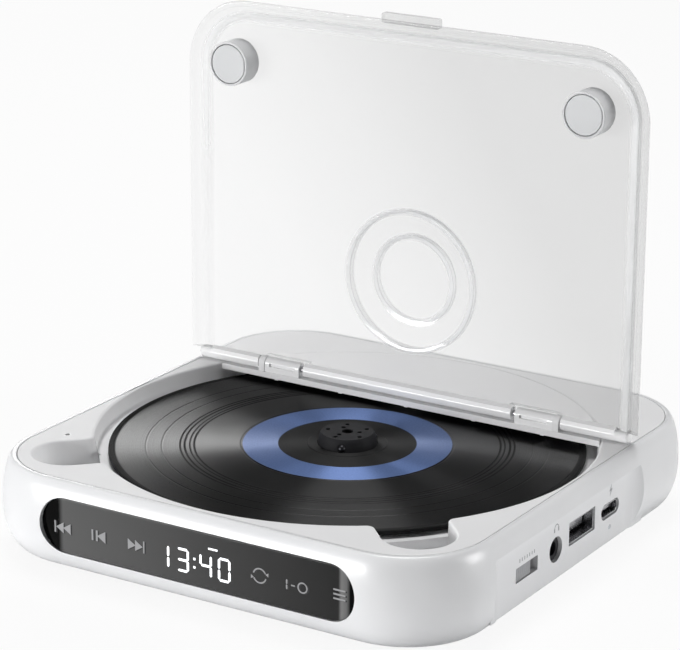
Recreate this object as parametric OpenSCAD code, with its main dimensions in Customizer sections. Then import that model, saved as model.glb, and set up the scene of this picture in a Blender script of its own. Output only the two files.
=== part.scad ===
// Flat personal disc player with a clear hinged lid, shown lying down with the lid standing open.
// X runs along the front face, Y towards the back and Z up.
// The origin is under the middle of the case, on the plane of the rubber feet.

/* [Case] */
// Overall width at the widest line of the side wall
body_w = 136; // [132:1:142]
// Overall depth at the widest line of the side wall
body_d = 138; // [134:1:144]
// Height of the case from its underside to the deck, feet left out
body_h = 23; // [22:0.5:28]
// Plan radius of the corners at the widest line
corner_r = 24; // [20:1:28]
// How far the side wall swells out beyond the deck's edge
bulge = 3; // [2:0.5:4]
// How far the underside is tucked in behind the deck's edge
tuck = 2.7; // [1.5:0.1:4]
// Height of the widest line above the underside
bulge_z = 10.9; // [9:0.1:13]
// Wall thickness of the case
wall = 2.2; // [1.8:0.1:2.6]
// Standing height of the rubber feet
foot_h = 1.2; // [0.8:0.1:2]

/* [Disc and well] */
// Diameter of the disc
disc_d = 120; // [118:1:120]
// Thickness of the disc
disc_t = 1.2; // [1:0.1:1.4]
// Depth of the disc's top face below the deck
disc_drop = 3; // [2.5:0.1:3.5]
// Diameter of the well at the deck
well_d = 127; // [126:0.5:127.5]
// Depth of the well's floor below the deck
well_drop = 5; // [4.6:0.1:5.4]
// Distance of each finger pocket from the disc's centre, along X and along Y
pocket_pos = 50; // [49:0.5:51]
// Radius of the finger pockets
pocket_r = 8.8; // [8.6:0.1:9.4]
// Depth of the finger pockets below the deck
pocket_drop = 7.5; // [7.2:0.1:8]
// Radius of the rounded corners where a pocket opens into the well
mouth_r = 2; // [1:0.1:2.4]

/* [Lid] */
// Distance of the hinge line behind the disc's centre
hinge_y = 29.6; // [29:0.1:30.5]
// Height of the hinge line above the deck
hinge_up = 2; // [2:0.05:2.2]
// Width of the lid
lid_w = 133.6; // [132:0.2:135]
// Length of the lid from the hinge line to its free edge
lid_l = 97.4; // [96:0.2:98]
// Thickness of the clear sheet
lid_t = 1.6; // [1.2:0.1:1.8]
// Plan radius of the lid's free corners
lid_r = 18; // [16:0.5:19]
// Distance of each bumper from the lid's centre line
bumper_x = 51.4; // [50:0.2:52]
// Distance of the bumpers from the hinge line
bumper_l = 81.4; // [80:0.2:82]
// Height that the hub dome stands above the sheet
dome_h = 2.2; // [1.5:0.1:3]

/* [Window and ports] */
// Width of the display window
window_w = 89; // [84:1:92]
// Height of the display window
window_h = 14.2; // [12:0.2:14.4]
// Height of the window's middle above the feet
window_z = 13.5; // [13:0.1:14]
// Distance of the flat port panel from the middle of the case
panel_x = 66; // [65.8:0.1:66.4]
// Travel of the slide switch
switch_travel = 3; // [2:0.5:3.2]

/* [Drive] */
// Tooth module of the sled drive
gear_m = 0.5; // [0.5:0.05:0.6]
// Teeth of the gear that drives the rack
small_teeth = 12; // [11:1:13]
// Teeth of the wheel that the motor pinion drives
wheel_teeth = 30; // [28:1:32]
// Teeth of the motor pinion
pinion_teeth = 10; // [9:1:11]
// Smallest playing radius of the lens
lens_in = 24; // [23:0.5:25]
// Travel of the pickup sled
sled_travel = 34; // [30:0.5:34]

/* [Wall mount] */
// Distance between the two keyholes
keyhole_pitch = 60; // [50:1:70]
// Diameter of the keyhole's round entry
keyhole_d = 8; // [7:0.5:9]
// Width of the keyhole's narrow slot
keyhole_slot = 4; // [3.5:0.5:4.5]

/* [Hidden] */
$fn = 64;
eps = 0.01;

half_w = body_w / 2;
half_d = body_d / 2;
floor_z = foot_h;
deck_z = foot_h + body_h;
disc_z = deck_z - disc_drop;
well_z = deck_z - well_drop;
well_floor_t = 1.5;
well_r = well_d / 2;
well_low_r = well_r - 1.1;
cup_r = well_r + 0.8;
pocket_z = deck_z - pocket_drop;
pocket_wall = 1.3;
deck_t = 2;
deck_gap = 0.15;
lip = 0.7;
cover_y = 27.6;
cover_t = 1.5;
hinge_z = deck_z + hinge_up;
rail_r = 1.75;
pin_r = 0.8;
run_fit = 0.05;
rail_half = 64.3;
post_in = 32.4;
post_out = 43.2;
gap_in = 31.2;
gap_out = 45.4;
screw_r = 0.8;
window_y = -68.1;
window_t = 1.4;
panel_back = 63.8;
board_z = 6.6;
board_t = 1.6;
board_top = board_z + board_t;

switch_y = -27;
switch_z = 11;
switch_slot = [10.8, 3.8];
knob_w = switch_slot[0] - switch_travel - 0.2;
jack_y = -12.5;
jack_z = 11;
usb_a_y = 1;
usb_a_z = 12.4;
usb_a_size = [13.2, 5.7];
usb_c_y = 16;
usb_c_z = 11.9;
usb_c_size = [8.9, 3.2];
light_z = 7.2;

sled_angle = 135;
rod_v = 8;
rod_z = 11.4;
rod_r = 1;
sled_v = 11.2;
plate_z = 14.2;
plate_t = 1.2;
rack_v = -17;
rack_z = 10.2;
gear_u = 28;
gear_v = rack_v - gear_m * small_teeth / 2;
pressure = 25;
backlash = 0.12;
pinion_turn = 205;
pinion_gap = gear_m * (wheel_teeth + pinion_teeth) / 2;
pinion_u = gear_u + pinion_gap * cos(pinion_turn);
pinion_v = gear_v + pinion_gap * sin(pinion_turn);
post_z = plate_z - 1.2;
grommet_spots = [[-15.5, 13], [-15.5, -13], [46, 16], [50, -21.5]];
case_screws = [[-50, -28], [50, -28], [50, 36], [-54, 17]];
battery_at = [-19, -40];
board_posts = [[15, -55], [15, -31], [54, -48], [41, -22], [54, 26], [41, 26]];
lid_half = lid_w / 2;
rim_low = -1.2;
sheet_low = -0.2;
sheet_top = sheet_low + lid_t;
edge_run = 6;
rim_t = 1.4;
rail_seat = 1.2;
bumper_low = -6;
foot_spots = [[-46, -47], [46, -47], [-46, 47], [46, 47]];

// Offset from the widest outline against height, up the curved side wall
function wall_line(inset) = concat(
    [for (a = [90:-15:15]) [-(bulge + tuck - inset / 2) * (1 - cos(a)) - inset,
        floor_z + inset + (bulge_z - inset) * (1 - sin(a))]],
    [for (a = [90:-15:15]) [-bulge * (1 - sin(a)) - inset,
        floor_z + bulge_z + (body_h - bulge_z) * cos(a)]],
    [[-bulge - inset, deck_z]]
);

module corner_sweep(line) {
    cx = half_w - corner_r;
    cy = half_d - corner_r;
    low = line[0][1];
    top = line[len(line) - 1][1];
    for (q = [0:3]) {
        sx = (q == 0 || q == 3) ? 1 : -1;
        sy = (q < 2) ? 1 : -1;
        translate([sx * cx, sy * cy, 0])
            rotate([0, 0, 90 * q])
                rotate_extrude(angle = 90)
                    polygon(concat([[0, low]], [for (p = line) [corner_r + p[0], p[1]]], [[0, top]]));
    }
    for (s = [-1, 1]) {
        rotate([90, 0, 90 - 90 * s])
            translate([0, 0, -cy])
                linear_extrude(2 * cy)
                    polygon(concat([[cx, low]], [for (p = line) [half_w + p[0], p[1]]], [[cx, top]]));
        rotate([90, 0, 90 * s])
            translate([0, 0, -cx])
                linear_extrude(2 * cx)
                    polygon(concat([[cy, low]], [for (p = line) [half_d + p[0], p[1]]], [[cy, top]]));
    }
    translate([-cx, -cy, low])
        cube([2 * cx, 2 * cy, top - low]);
}

// Rounded plan outline, shrunk by inset from the widest line
module outline(inset) {
    r = corner_r - inset;
    for (x = [-1, 1], y = [-1, 1])
        translate([x * (half_w - corner_r), y * (half_d - corner_r)])
            circle(r);
    square([2 * (half_w - corner_r), 2 * (half_d - inset)], center = true);
    square([2 * (half_w - inset), 2 * (half_d - corner_r)], center = true);
}

module slab(inset, low, high) {
    translate([0, 0, low])
        linear_extrude(high - low)
            outline(inset);
}

module stadium(w, h) {
    translate([(h - w) / 2, 0])
        circle(h / 2);
    translate([(w - h) / 2, 0])
        circle(h / 2);
    square([w - h, h], center = true);
}

module rounded_plan(w, d, r) {
    for (x = [-1, 1], y = [-1, 1])
        translate([x * (w / 2 - r), y * (d / 2 - r)])
            circle(r);
    square([w - 2 * r, d], center = true);
    square([w, d - 2 * r], center = true);
}

// A stadium standing in the front face, pushed back along Y
module front_stadium(w, h, y0, y1) {
    translate([0, y1, window_z])
        rotate([90, 0, 0])
            linear_extrude(y1 - y0)
                stadium(w, h);
}

// A box given by its middle and its size
module box_at(middle, size) {
    translate(middle)
        cube(size, center = true);
}

// Plan view of the cut that makes the flat port panel, with a scooped rear end
module panel_cut() {
    scoop_r = 12;
    scoop_y = 24;
    blend = 3;
    polygon(concat(
        [[half_w + 2, -42.5 - blend], [panel_x + 1.6, -42.5 - blend]],
        [[panel_x + 0.5, -42.5], [panel_x, -40]],
        [for (a = [0:6:42]) [panel_x + scoop_r * (1 - cos(a)), scoop_y + scoop_r * sin(a)]],
        [[half_w + 2, scoop_y + scoop_r * sin(42)]]
    ));
}

module main_shell() {
    ledge_z = deck_z - deck_t - deck_gap;
    seat_z = floor_z + 1.4;
    color("whitesmoke")
        difference() {
            union() {
                difference() {
                    corner_sweep(wall_line(0));
                    corner_sweep(wall_line(wall));
                }
                box_at([(panel_back + panel_x + 0.5) / 2, -6, 11], [panel_x + 0.5 - panel_back, 78, 15]);
                box_at([0, -66, window_z], [window_w + 9, 3, window_h + 3]);
            }
            slab(bulge + lip, ledge_z, deck_z + eps);
            slab(bulge + tuck + 2.5, floor_z - eps, seat_z);
            slab(bulge + tuck + 5.5, floor_z - eps, floor_z + wall + 1);
            translate([0, 0, well_z - well_floor_t - 0.3])
                cylinder(r = cup_r + 0.25, h = body_h);
            translate([0, 0, floor_z - 1])
                linear_extrude(18.3 + 1)
                    panel_cut();
            front_stadium(window_w, window_h, -half_d - 1, -60);
            front_stadium(window_w + 4, window_h + 1.6, window_y + window_t + 0.1, -60);
            box_at([panel_x, switch_y, switch_z], [8, switch_slot[0], switch_slot[1]]);
            box_at([panel_x, usb_a_y, usb_a_z], [8, usb_a_size[0] + 0.4, usb_a_size[1] + 0.4]);
            translate([panel_back - 1, jack_y, jack_z])
                rotate([0, 90, 0])
                    cylinder(d = 6.4, h = 5);
            translate([panel_back - 1, usb_c_y, usb_c_z])
                rotate([90, 0, 90])
                    linear_extrude(5)
                        stadium(usb_c_size[0] + 0.8, usb_c_size[1] + 0.8);
            translate([panel_back - 1, usb_c_y, light_z])
                rotate([0, 90, 0])
                    cylinder(d = 1.3, h = 5);
        }
}

// The mouth and floor of one finger pocket, running from its round end into the well
module pocket_plan(grow) {
    circle(pocket_r + grow);
    translate([0, -pocket_r - grow])
        square([15, 2 * (pocket_r + grow)]);
}

// Rounds off the two corners where a pocket's sides run into the round well
module mouth_corners() {
    reach = well_r + mouth_r;
    side = pocket_r + mouth_r;
    along = sqrt(reach * reach - side * side);
    inner = (well_low_r - 1.5) / reach;
    translate([pocket_pos * sqrt(2), 0])
        for (s = [-1, 1])
            difference() {
                polygon([
                    [-along, s * (pocket_r - 1)], [-along * inner, s * (pocket_r - 1)],
                    [-along * inner, s * side * inner], [-along, s * side]
                ]);
                translate([-along, s * side])
                    circle(mouth_r);
            }
}

// Fills the outside of those corners, so the wall keeps its thickness there
module mouth_pads() {
    reach = well_r + mouth_r;
    side = pocket_r + mouth_r;
    for (s = [-1, 1])
        translate([pocket_pos * sqrt(2) - sqrt(reach * reach - side * side), s * side])
            circle(1);
}

module at_pockets() {
    for (s = [-1, 1])
        translate([s * pocket_pos, -pocket_pos])
            rotate(s > 0 ? 135 : 45)
                children();
}

// Places children in the pickup's own frame: U along the sled's travel, V across it
module on_traverse() {
    rotate([0, 0, sled_angle])
        children();
}

module top_deck() {
    edge = bulge + lip + deck_gap;
    floor_low = well_z - well_floor_t;
    color("white")
        difference() {
            union() {
                slab(edge, deck_z - deck_t, deck_z);
                intersection() {
                    translate([0, 0, floor_low])
                        cylinder(r = cup_r, h = deck_z - floor_low);
                    slab(edge, floor_low, deck_z);
                }
                intersection() {
                    translate([0, 0, pocket_z - pocket_wall])
                        linear_extrude(deck_z - pocket_z + pocket_wall)
                            at_pockets() {
                                pocket_plan(pocket_wall);
                                mouth_pads();
                            }
                    slab(edge, pocket_z - pocket_wall, deck_z);
                }
                for (p = case_screws)
                    translate([p[0], p[1], floor_z + wall + 0.2])
                        cylinder(d = 4.8, h = well_z - 0.5 - floor_z - wall - 0.2);
                on_traverse()
                    for (g = grommet_spots)
                        translate([g[0], g[1], post_z])
                            cylinder(d = 2.4, h = well_z - 0.5 - post_z);
            }
            translate([0, 0, well_z])
                cylinder(r1 = well_low_r, r2 = well_r, h = well_drop + eps);
            translate([0, 0, deck_z - 0.5])
                cylinder(r1 = well_r - 0.1, r2 = well_r + 0.5, h = 0.5 + eps);
            difference() {
                translate([0, 0, pocket_z])
                    linear_extrude(body_h)
                        at_pockets() {
                            pocket_plan(0);
                            mouth_corners();
                        }
                cylinder(r = well_low_r - 1, h = well_z);
            }
            translate([0, 0, floor_low - 1])
                cylinder(d = 34, h = 4);
            on_traverse()
                translate([12, -6.5, floor_low - 1])
                    cube([well_low_r - 12.6, 13, 3]);
            for (p = case_screws)
                translate([p[0], p[1], floor_z])
                    cylinder(r = screw_r + run_fit, h = 9);
            on_traverse()
                for (g = grommet_spots)
                    translate([g[0], g[1], post_z - eps])
                        cylinder(r = 0.65, h = 3.4);
            translate([-57.7, -39.8, deck_z - 3])
                cylinder(d = 1.2, h = 4);
        }
    color("white")
        intersection() {
            difference() {
                translate([0, 0, deck_z - cover_t - 1])
                    cylinder(r = well_r + 0.2, h = 0.9);
                translate([0, 0, deck_z - cover_t - 2])
                    cylinder(r = 61.2, h = 3);
            }
            translate([-70, cover_y + 2, 0])
                cube([140, 50, 40]);
        }
}

module rear_cover() {
    color("white")
        difference() {
            intersection() {
                union() {
                    translate([0, 0, deck_z - cover_t])
                        cylinder(r = well_r - 0.45, h = cover_t);
                    intersection() {
                        translate([0, 0, deck_z - cover_t - 0.6])
                            cylinder(r = 60.7, h = 1);
                        for (x = [-40:20:40])
                            translate([x - 0.5, cover_y + 1, deck_z - cover_t - 0.6])
                                cube([1, 40, 1]);
                    }
                }
                translate([-70, cover_y, 0])
                    cube([140, 50, 40]);
            }
            for (s = [-1, 1], d = [0, 5])
                translate([s * (post_in + 2.6 + d), hinge_y, deck_z - 4])
                    cylinder(d = 1.6, h = 5);
        }
}

// Plan of a keyhole: a round entry and a narrow slot running towards the back
module keyhole() {
    circle(d = keyhole_d);
    translate([-keyhole_slot / 2, 0])
        square([keyhole_slot, 8]);
    translate([0, 8])
        circle(d = keyhole_slot);
}

module base_plate() {
    color("gainsboro")
        difference() {
            union() {
                slab(bulge + tuck + 2.7, floor_z, floor_z + 1.3);
                slab(bulge + tuck + 5.8, floor_z, floor_z + wall);
                for (p = board_posts)
                    translate([p[0], p[1], floor_z + 1])
                        cylinder(d = 4, h = board_z - floor_z - 1);
                difference() {
                    box_at([battery_at[0], battery_at[1], floor_z + wall + 0.9], [53.2, 33.2, 2]);
                    box_at([battery_at[0], battery_at[1], floor_z + wall + 1.5], [50.4, 30.4, 3]);
                    box_at([battery_at[0], battery_at[1], floor_z + wall + 1.5], [38, 40, 3]);
                }
            }
            for (s = [-1, 1])
                translate([s * keyhole_pitch / 2, -4, floor_z - 1])
                    linear_extrude(wall + 2)
                        keyhole();
            for (p = case_screws) {
                translate([p[0], p[1], floor_z - 1])
                    cylinder(d = 2.2, h = 5);
                translate([p[0], p[1], floor_z - 1])
                    cylinder(d = 4.3, h = 2.1);
            }
            for (p = foot_spots)
                translate([p[0], p[1], floor_z - 1])
                    cylinder(d = 10.2, h = 1.8);
        }
}

module base_screws() {
    color("silver")
        for (p = case_screws)
            translate([p[0], p[1], 0])
                difference() {
                    rotate_extrude()
                        translate([0, floor_z])
                            polygon([
                                [0, 0.2], [1.7, 0.2], [2, 0.5], [2, 1.1],
                                [screw_r, 1.1], [screw_r, 8], [0, 8.6]
                            ]);
                    for (a = [0, 90])
                        rotate([0, 0, a])
                            box_at([0, 0, floor_z + 0.3], [2, 0.5, 0.7]);
                }
}

module rubber_feet() {
    color("lightgray")
        for (p = foot_spots)
            translate([p[0], p[1], 0])
                rotate_extrude()
                    polygon([[0, 0], [4.2, 0], [4.7, 0.2], [5, 0.6], [5, foot_h + 0.8], [0, foot_h + 0.8]]);
}

module display_window() {
    back = window_y + window_t;
    color([0.06, 0.06, 0.07]) {
        front_stadium(window_w - 0.2, window_h - 0.2, window_y, back + 0.2);
        front_stadium(window_w + 3.6, window_h + 1.2, back + 0.1, back + 0.8);
    }
}

module display_board() {
    back = -63.1;
    color("darkgreen")
        box_at([0, back - 0.6, 11.1], [92, 1.2, 12.2]);
    color("black")
        box_at([-6, back - 1.95, window_z - 1], [26, 1.5, 8]);
    color("ivory")
        box_at([30, back + 1.4, 10.4], [14, 2.8, 4]);
}

module chip(x, y, w, d, h) {
    box_at([x, y, board_top + h / 2], [w, d, h]);
}

module main_board() {
    color("darkgreen")
        difference() {
            translate([0, 0, board_z])
                linear_extrude(board_t)
                    polygon([[10, -61], [50, -61], [60, -52], [60, 31], [37, 31], [37, -26], [10, -26]]);
            translate([50, -28, board_z - 1])
                cylinder(d = 6, h = 4);
        }
    color("dimgray") {
        chip(42, -46, 10, 10, 1.1);
        chip(25, -40, 7, 7, 1);
        chip(44, 20, 8, 6, 1.4);
        chip(24, -54, 12, 5, 3.6);
        chip(44, -8, 6, 6, 3);
    }
    color("slategray")
        for (p = [[42, 8], [14, -33], [43, -18]])
            translate([p[0], p[1], board_top])
                cylinder(d = 5, h = 5.6);
}

module battery() {
    color("lightsteelblue")
        translate([battery_at[0], battery_at[1], floor_z + wall + 0.1])
            linear_extrude(6)
                rounded_plan(50, 30, 2);
}

module headphone_jack() {
    color([0.1, 0.1, 0.1])
        difference() {
            union() {
                box_at([57.2, jack_y, board_top + 2.85], [12.6, 6.4, 5.7]);
                translate([63, jack_y, jack_z])
                    rotate([0, 90, 0])
                        cylinder(d = 6.2, h = 2);
            }
            translate([52.4, jack_y, jack_z])
                rotate([0, 90, 0])
                    cylinder(r = 1.8, h = 20);
        }
}

module usb_a_port() {
    depth = 13.6;
    mid = panel_x - 0.3 - depth / 2;
    w = usb_a_size[0];
    h = usb_a_size[1];
    under = usb_a_z - h / 2;
    color("silver")
        difference() {
            box_at([mid, usb_a_y, usb_a_z], [depth, w, h]);
            box_at([mid + 1.2, usb_a_y, usb_a_z], [depth, w - 0.8, h - 0.8]);
        }
    color("black") {
        box_at([mid - 1, usb_a_y, usb_a_z - 0.6], [depth - 3, 11, 1.8]);
        box_at([mid - 1, usb_a_y, (board_top + under) / 2], [depth - 3.4, 11, under - board_top]);
    }
}

module usb_c_port() {
    depth = 7.4;
    mouth = panel_x - 0.3;
    color("silver")
        difference() {
            translate([mouth - depth, usb_c_y, usb_c_z])
                rotate([90, 0, 90])
                    linear_extrude(depth)
                        stadium(usb_c_size[0], usb_c_size[1]);
            translate([mouth - depth + 1, usb_c_y, usb_c_z])
                rotate([90, 0, 90])
                    linear_extrude(depth)
                        stadium(usb_c_size[0] - 0.6, usb_c_size[1] - 0.6);
        }
    color("black") {
        box_at([mouth - depth / 2 - 0.4, usb_c_y, usb_c_z], [depth - 1.6, 6.7, 0.8]);
        box_at([mouth - depth / 2 - 1.2, usb_c_y, (board_top + usb_c_z - 1.5) / 2],
            [depth - 2.2, 6, usb_c_z - 1.5 - board_top]);
    }
}

module switch_body() {
    color("black")
        difference() {
            box_at([59.2, switch_y, board_top + 2.8], [7, 12.4, 5.6]);
            box_at([61.5, switch_y, switch_z], [3, switch_travel + 3, 2.6]);
        }
}

module switch_knob() {
    rest_y = switch_y - switch_travel / 2;
    color("gray") {
        difference() {
            box_at([64.5, rest_y, switch_z], [2.4, knob_w, switch_slot[1] - 0.4]);
            for (i = [-3:3])
                translate([65.85, rest_y + i, switch_z])
                    rotate([0, 0, 45])
                        cube([0.5, 0.5, 6], center = true);
        }
        box_at([61.8, rest_y, switch_z], [3.2, 1.8, 1.8]);
    }
}

module charge_light() {
    color("white") {
        translate([61.8, usb_c_y, light_z])
            rotate([0, 90, 0])
                cylinder(r = 0.6, h = panel_x - 61.8);
        box_at([61.1, usb_c_y, light_z], [1.8, 2.4, 1.6]);
    }
}

module lid_sensor() {
    color("black")
        translate([-57.7, -39.8, deck_z - deck_t - 1.5])
            difference() {
                box_at([0, 0, 0.75], [3.2, 2.6, 1.5]);
                translate([0, 0, 0.9])
                    cylinder(d = 1.2, h = 1);
            }
}

// Places children drawn around the hinge line in the open pose
module at_hinge() {
    translate([0, hinge_y, hinge_z])
        children();
}

// Places children drawn for the closed lid, with the hinge line as their X axis, into the open pose
module on_lid() {
    at_hinge()
        rotate([-90, 0, 0])
            children();
}

module hinge_posts() {
    color("white")
        at_hinge()
            for (s = [-1, 1]) {
                difference() {
                    translate([s > 0 ? post_in : -post_out, 0, 0])
                        rotate([90, 0, 90])
                            linear_extrude(post_out - post_in)
                                difference() {
                                    union() {
                                        circle(rail_r);
                                        translate([-rail_r, -hinge_up])
                                            square([2 * rail_r, hinge_up]);
                                    }
                                    circle(pin_r + run_fit);
                                }
                    box_at([s * (post_in + post_out) / 2, -rail_r, 0], [post_out - post_in - 3, 1, 0.9]);
                }
                for (d = [0, 5])
                    translate([s * (post_in + 2.6 + d), 0, -hinge_up - cover_t])
                        cylinder(d = 1.5, h = cover_t + 0.3);
            }
}

module hinge_bushes() {
    length = gap_out - 0.35 - post_out;
    color("white")
        at_hinge()
            for (s = [-1, 1])
                translate([s > 0 ? post_out : -post_out - length, 0, 0])
                    rotate([90, 0, 90])
                        linear_extrude(length)
                            difference() {
                                union() {
                                    circle(rail_r + 0.15);
                                    translate([-rail_r - 0.15, -hinge_up])
                                        square([2 * rail_r + 0.3, hinge_up]);
                                }
                                circle(pin_r + run_fit);
                            }
}

module hinge_pins() {
    color("silver")
        at_hinge()
            for (s = [-1, 1])
                translate([s > 0 ? gap_in - 6 : -gap_out - 5, 0, 0])
                    rotate([0, 90, 0])
                        cylinder(r = pin_r, h = gap_out - gap_in + 11);
}

// Section of the rail in the open pose: round below for the swing, bevelled in front, a seat behind
module rail_section(top) {
    circle(rail_r);
    polygon([[-rail_r, 0], [-rail_r, 0.3], [-1.35, min(top, 1.4)], [sheet_low, top], [sheet_low, 0]]);
}

module rail_bar(half, top) {
    rotate([90, 0, 90])
        translate([0, 0, -half])
            linear_extrude(2 * half)
                difference() {
                    rail_section(top);
                    translate([sheet_low, rail_seat])
                        square([4, 3]);
                }
}

module lid_rail() {
    color("white")
        at_hinge()
            difference() {
                union() {
                    rail_bar(rail_half - 0.6, rail_seat);
                    rail_bar(lid_half - edge_run - 0.3, 2);
                    for (s = [-1, 1])
                        translate([s * (rail_half - 0.6), 0, 0])
                            rotate([0, 90 * s, 0])
                                cylinder(r1 = rail_r, r2 = rail_r - 0.6, h = 0.6);
                }
                for (s = [-1, 1]) {
                    box_at([s * (gap_in + gap_out) / 2, 0, 0], [gap_out - gap_in, 8, 8]);
                    box_at([s * (lid_half - edge_run + 2.7), 0, rail_seat + 1.5], [6, 8, 3]);
                    translate([s > 0 ? gap_in - 6 : -gap_out - 5, 0, 0])
                        rotate([0, 90, 0])
                            cylinder(r = pin_r, h = gap_out - gap_in + 11);
                }
            }
}

// Section of the lid's edge: distance in from the edge against height, rounded over to the rim
edge_in = edge_run - rim_t;
edge_line = concat(
    [for (a = [0:15:90]) [edge_run * (1 - cos(a)), rim_low + (sheet_top - rim_low) * sin(a)]],
    [for (a = [90:-15:0]) [edge_run - edge_in * cos(a), rim_low + (sheet_low - rim_low) * sin(a)]]
);

module edge_strip(length) {
    rotate([90, 0, 0])
        linear_extrude(length)
            polygon([for (p = edge_line) [-p[0], p[1]]]);
}

// The clear sheet of the closed lid, hinge line along X, free edge towards -Y
module lid_sheet() {
    corner_x = lid_half - lid_r;
    corner_y = -lid_l + lid_r;
    rear = -rail_seat;
    for (s = [-1, 1])
        translate([s * corner_x, corner_y, 0])
            rotate([0, 0, s > 0 ? -90 : 180])
                rotate_extrude(angle = 90)
                    polygon(concat([for (p = edge_line) [lid_r - p[0], p[1]]]));
    for (s = [-1, 1])
        translate([s * corner_x, corner_y, sheet_low])
            rotate([0, 0, s > 0 ? -90 : 180])
                rotate_extrude(angle = 90)
                    square([lid_r - edge_run, lid_t]);
    translate([lid_half, rear, 0])
        edge_strip(rear - corner_y);
    mirror([1, 0, 0])
        translate([lid_half, rear, 0])
            edge_strip(rear - corner_y);
    translate([-corner_x, -lid_l, 0])
        rotate([0, 0, -90])
            translate([0, 2 * corner_x, 0])
                edge_strip(2 * corner_x);
    translate([edge_run - lid_half, corner_y, sheet_low])
        cube([2 * (lid_half - edge_run), rear - corner_y, lid_t]);
    translate([-corner_x, edge_run - lid_l, sheet_low])
        cube([2 * corner_x, corner_y + lid_l - edge_run, lid_t]);
}

module lid_panel() {
    ring_out = 18;
    ring_in = 12;
    notch = rail_r + 0.5;
    color([0.9, 0.92, 0.94, 0.4])
        on_lid()
            difference() {
                union() {
                    lid_sheet();
                    translate([0, -hinge_y, sheet_low])
                        cylinder(r1 = ring_out + 0.8, r2 = ring_in + 0.6, h = lid_t + dome_h);
                    translate([-8.3, -lid_l - 1.6, rim_low])
                        cube([16.6, 4, 1.8]);
                }
                translate([0, -hinge_y, sheet_low - eps])
                    cylinder(r1 = ring_out, r2 = ring_in, h = dome_h + eps);
                translate([-7, -lid_l + rim_t, rim_low - eps])
                    cube([14, 4, sheet_low - rim_low + eps]);
                for (s = [-1, 1])
                    box_at([s * (gap_in + gap_out) / 2, 0, 0], [gap_out - gap_in, 2 * notch, 8]);
            }
}

module at_bumpers() {
    on_lid()
        for (s = [-1, 1])
            translate([s * bumper_x, -bumper_l, 0])
                children();
}

module lid_bumpers() {
    color("lightgray")
        at_bumpers()
            rotate_extrude()
                polygon([[0, sheet_low], [0, bumper_low + 1.4], [5.2, bumper_low + 1.4], [5.2, bumper_low],
                    [5.6, bumper_low], [5.8, bumper_low + 0.2], [5.8, sheet_low]]);
}

module bumper_pads() {
    color("silver")
        at_bumpers()
            rotate_extrude()
                polygon([[0, bumper_low + 1.4], [5, bumper_low + 1.4], [5, bumper_low + 0.2],
                    [4.8, bumper_low], [0, bumper_low]]);
}

module disc() {
    low = disc_z - disc_t;
    color([0.08, 0.08, 0.09])
        rotate_extrude()
            polygon([[7.5, low], [17, low], [17.3, low - 0.2], [17.9, low - 0.2], [18.2, low],
                [disc_d / 2 - 0.2, low], [disc_d / 2, low + 0.2], [disc_d / 2, disc_z - 0.2],
                [disc_d / 2 - 0.2, disc_z], [59, disc_z], [58.8, disc_z - 0.1], [21, disc_z - 0.1],
                [20.8, disc_z], [7.5, disc_z]]);
}

module turntable() {
    low = disc_z - disc_t;
    color([0.12, 0.12, 0.12])
        difference() {
            rotate_extrude()
                polygon([[0, 8], [0.75, 8], [0.75, 16], [3.5, 16], [3.5, 18.2], [14.5, 18.2], [14.5, low],
                    [12, low], [12, low - 0.3], [7.4, low - 0.3], [7.4, disc_z + 0.6], [7, deck_z - 0.5],
                    [6.6, deck_z], [0, deck_z]]);
            translate([0, 0, deck_z - 3])
                cylinder(r = 1.5, h = 4);
            for (a = [0:2])
                rotate([0, 0, 120 * a + 20])
                    translate([3.1, 0, deck_z - 1.5])
                        cylinder(r = 0.6, h = 2);
            for (a = [0:4])
                rotate([0, 0, 72 * a + 50])
                    translate([5.1, 0, deck_z - 1.5])
                        cylinder(r = 0.6, h = 2);
            for (a = [0:2])
                rotate([0, 0, 120 * a - 70])
                    translate([6.9, 0, disc_z + 0.8])
                        sphere(r = 1.05);
        }
}

module hub_balls() {
    color("silver")
        for (a = [0:2])
            rotate([0, 0, 120 * a - 70])
                translate([6.9, 0, disc_z + 0.8])
                    sphere(r = 0.98);
}

module spindle_motor() {
    color("silver")
        difference() {
            rotate_extrude()
                polygon([[0.8, 6.4], [9.9, 6.4], [10.5, 7], [10.5, 13], [9, plate_z], [2.4, plate_z],
                    [2.4, plate_z + 1], [0.8, plate_z + 1]]);
            for (a = [0:3])
                rotate([0, 0, 90 * a + 45])
                    translate([7, 0, 6])
                        cylinder(d = 2.4, h = 1);
        }
}

module traverse_chassis() {
    lug_low = rod_z - 1.6;
    color("dimgray")
        on_traverse()
            difference() {
                union() {
                    translate([0, 0, plate_z])
                        linear_extrude(plate_t)
                            difference() {
                                polygon([[-19, -16], [-19, 16], [-16, 19], [50, 19], [66, 12], [66, -12],
                                    [55, -26], [44, -32], [10, -33], [4, -19], [-16, -19]]);
                                translate([12, -12.2])
                                    square([51.4, 24.4]);
                                circle(3);
                                translate([pinion_u, pinion_v])
                                    circle(6.1);
                                for (g = grommet_spots)
                                    translate(g)
                                        circle(2.3);
                            }
                    for (u = [9.6, 64.4], v = [-rod_v, rod_v])
                        box_at([u, v, (plate_z + lug_low) / 2], [1.6, 3.4, plate_z - lug_low + eps]);
                    box_at([24.5, 18.5, plate_z - 1], [33, 1, 2 + eps]);
                }
                for (v = [-rod_v, rod_v])
                    translate([8, v, rod_z])
                        rotate([0, 90, 0])
                            cylinder(r = rod_r, h = 60);
                translate([gear_u, gear_v, 0])
                    cylinder(r = 0.75, h = 30);
            }
}

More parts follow.
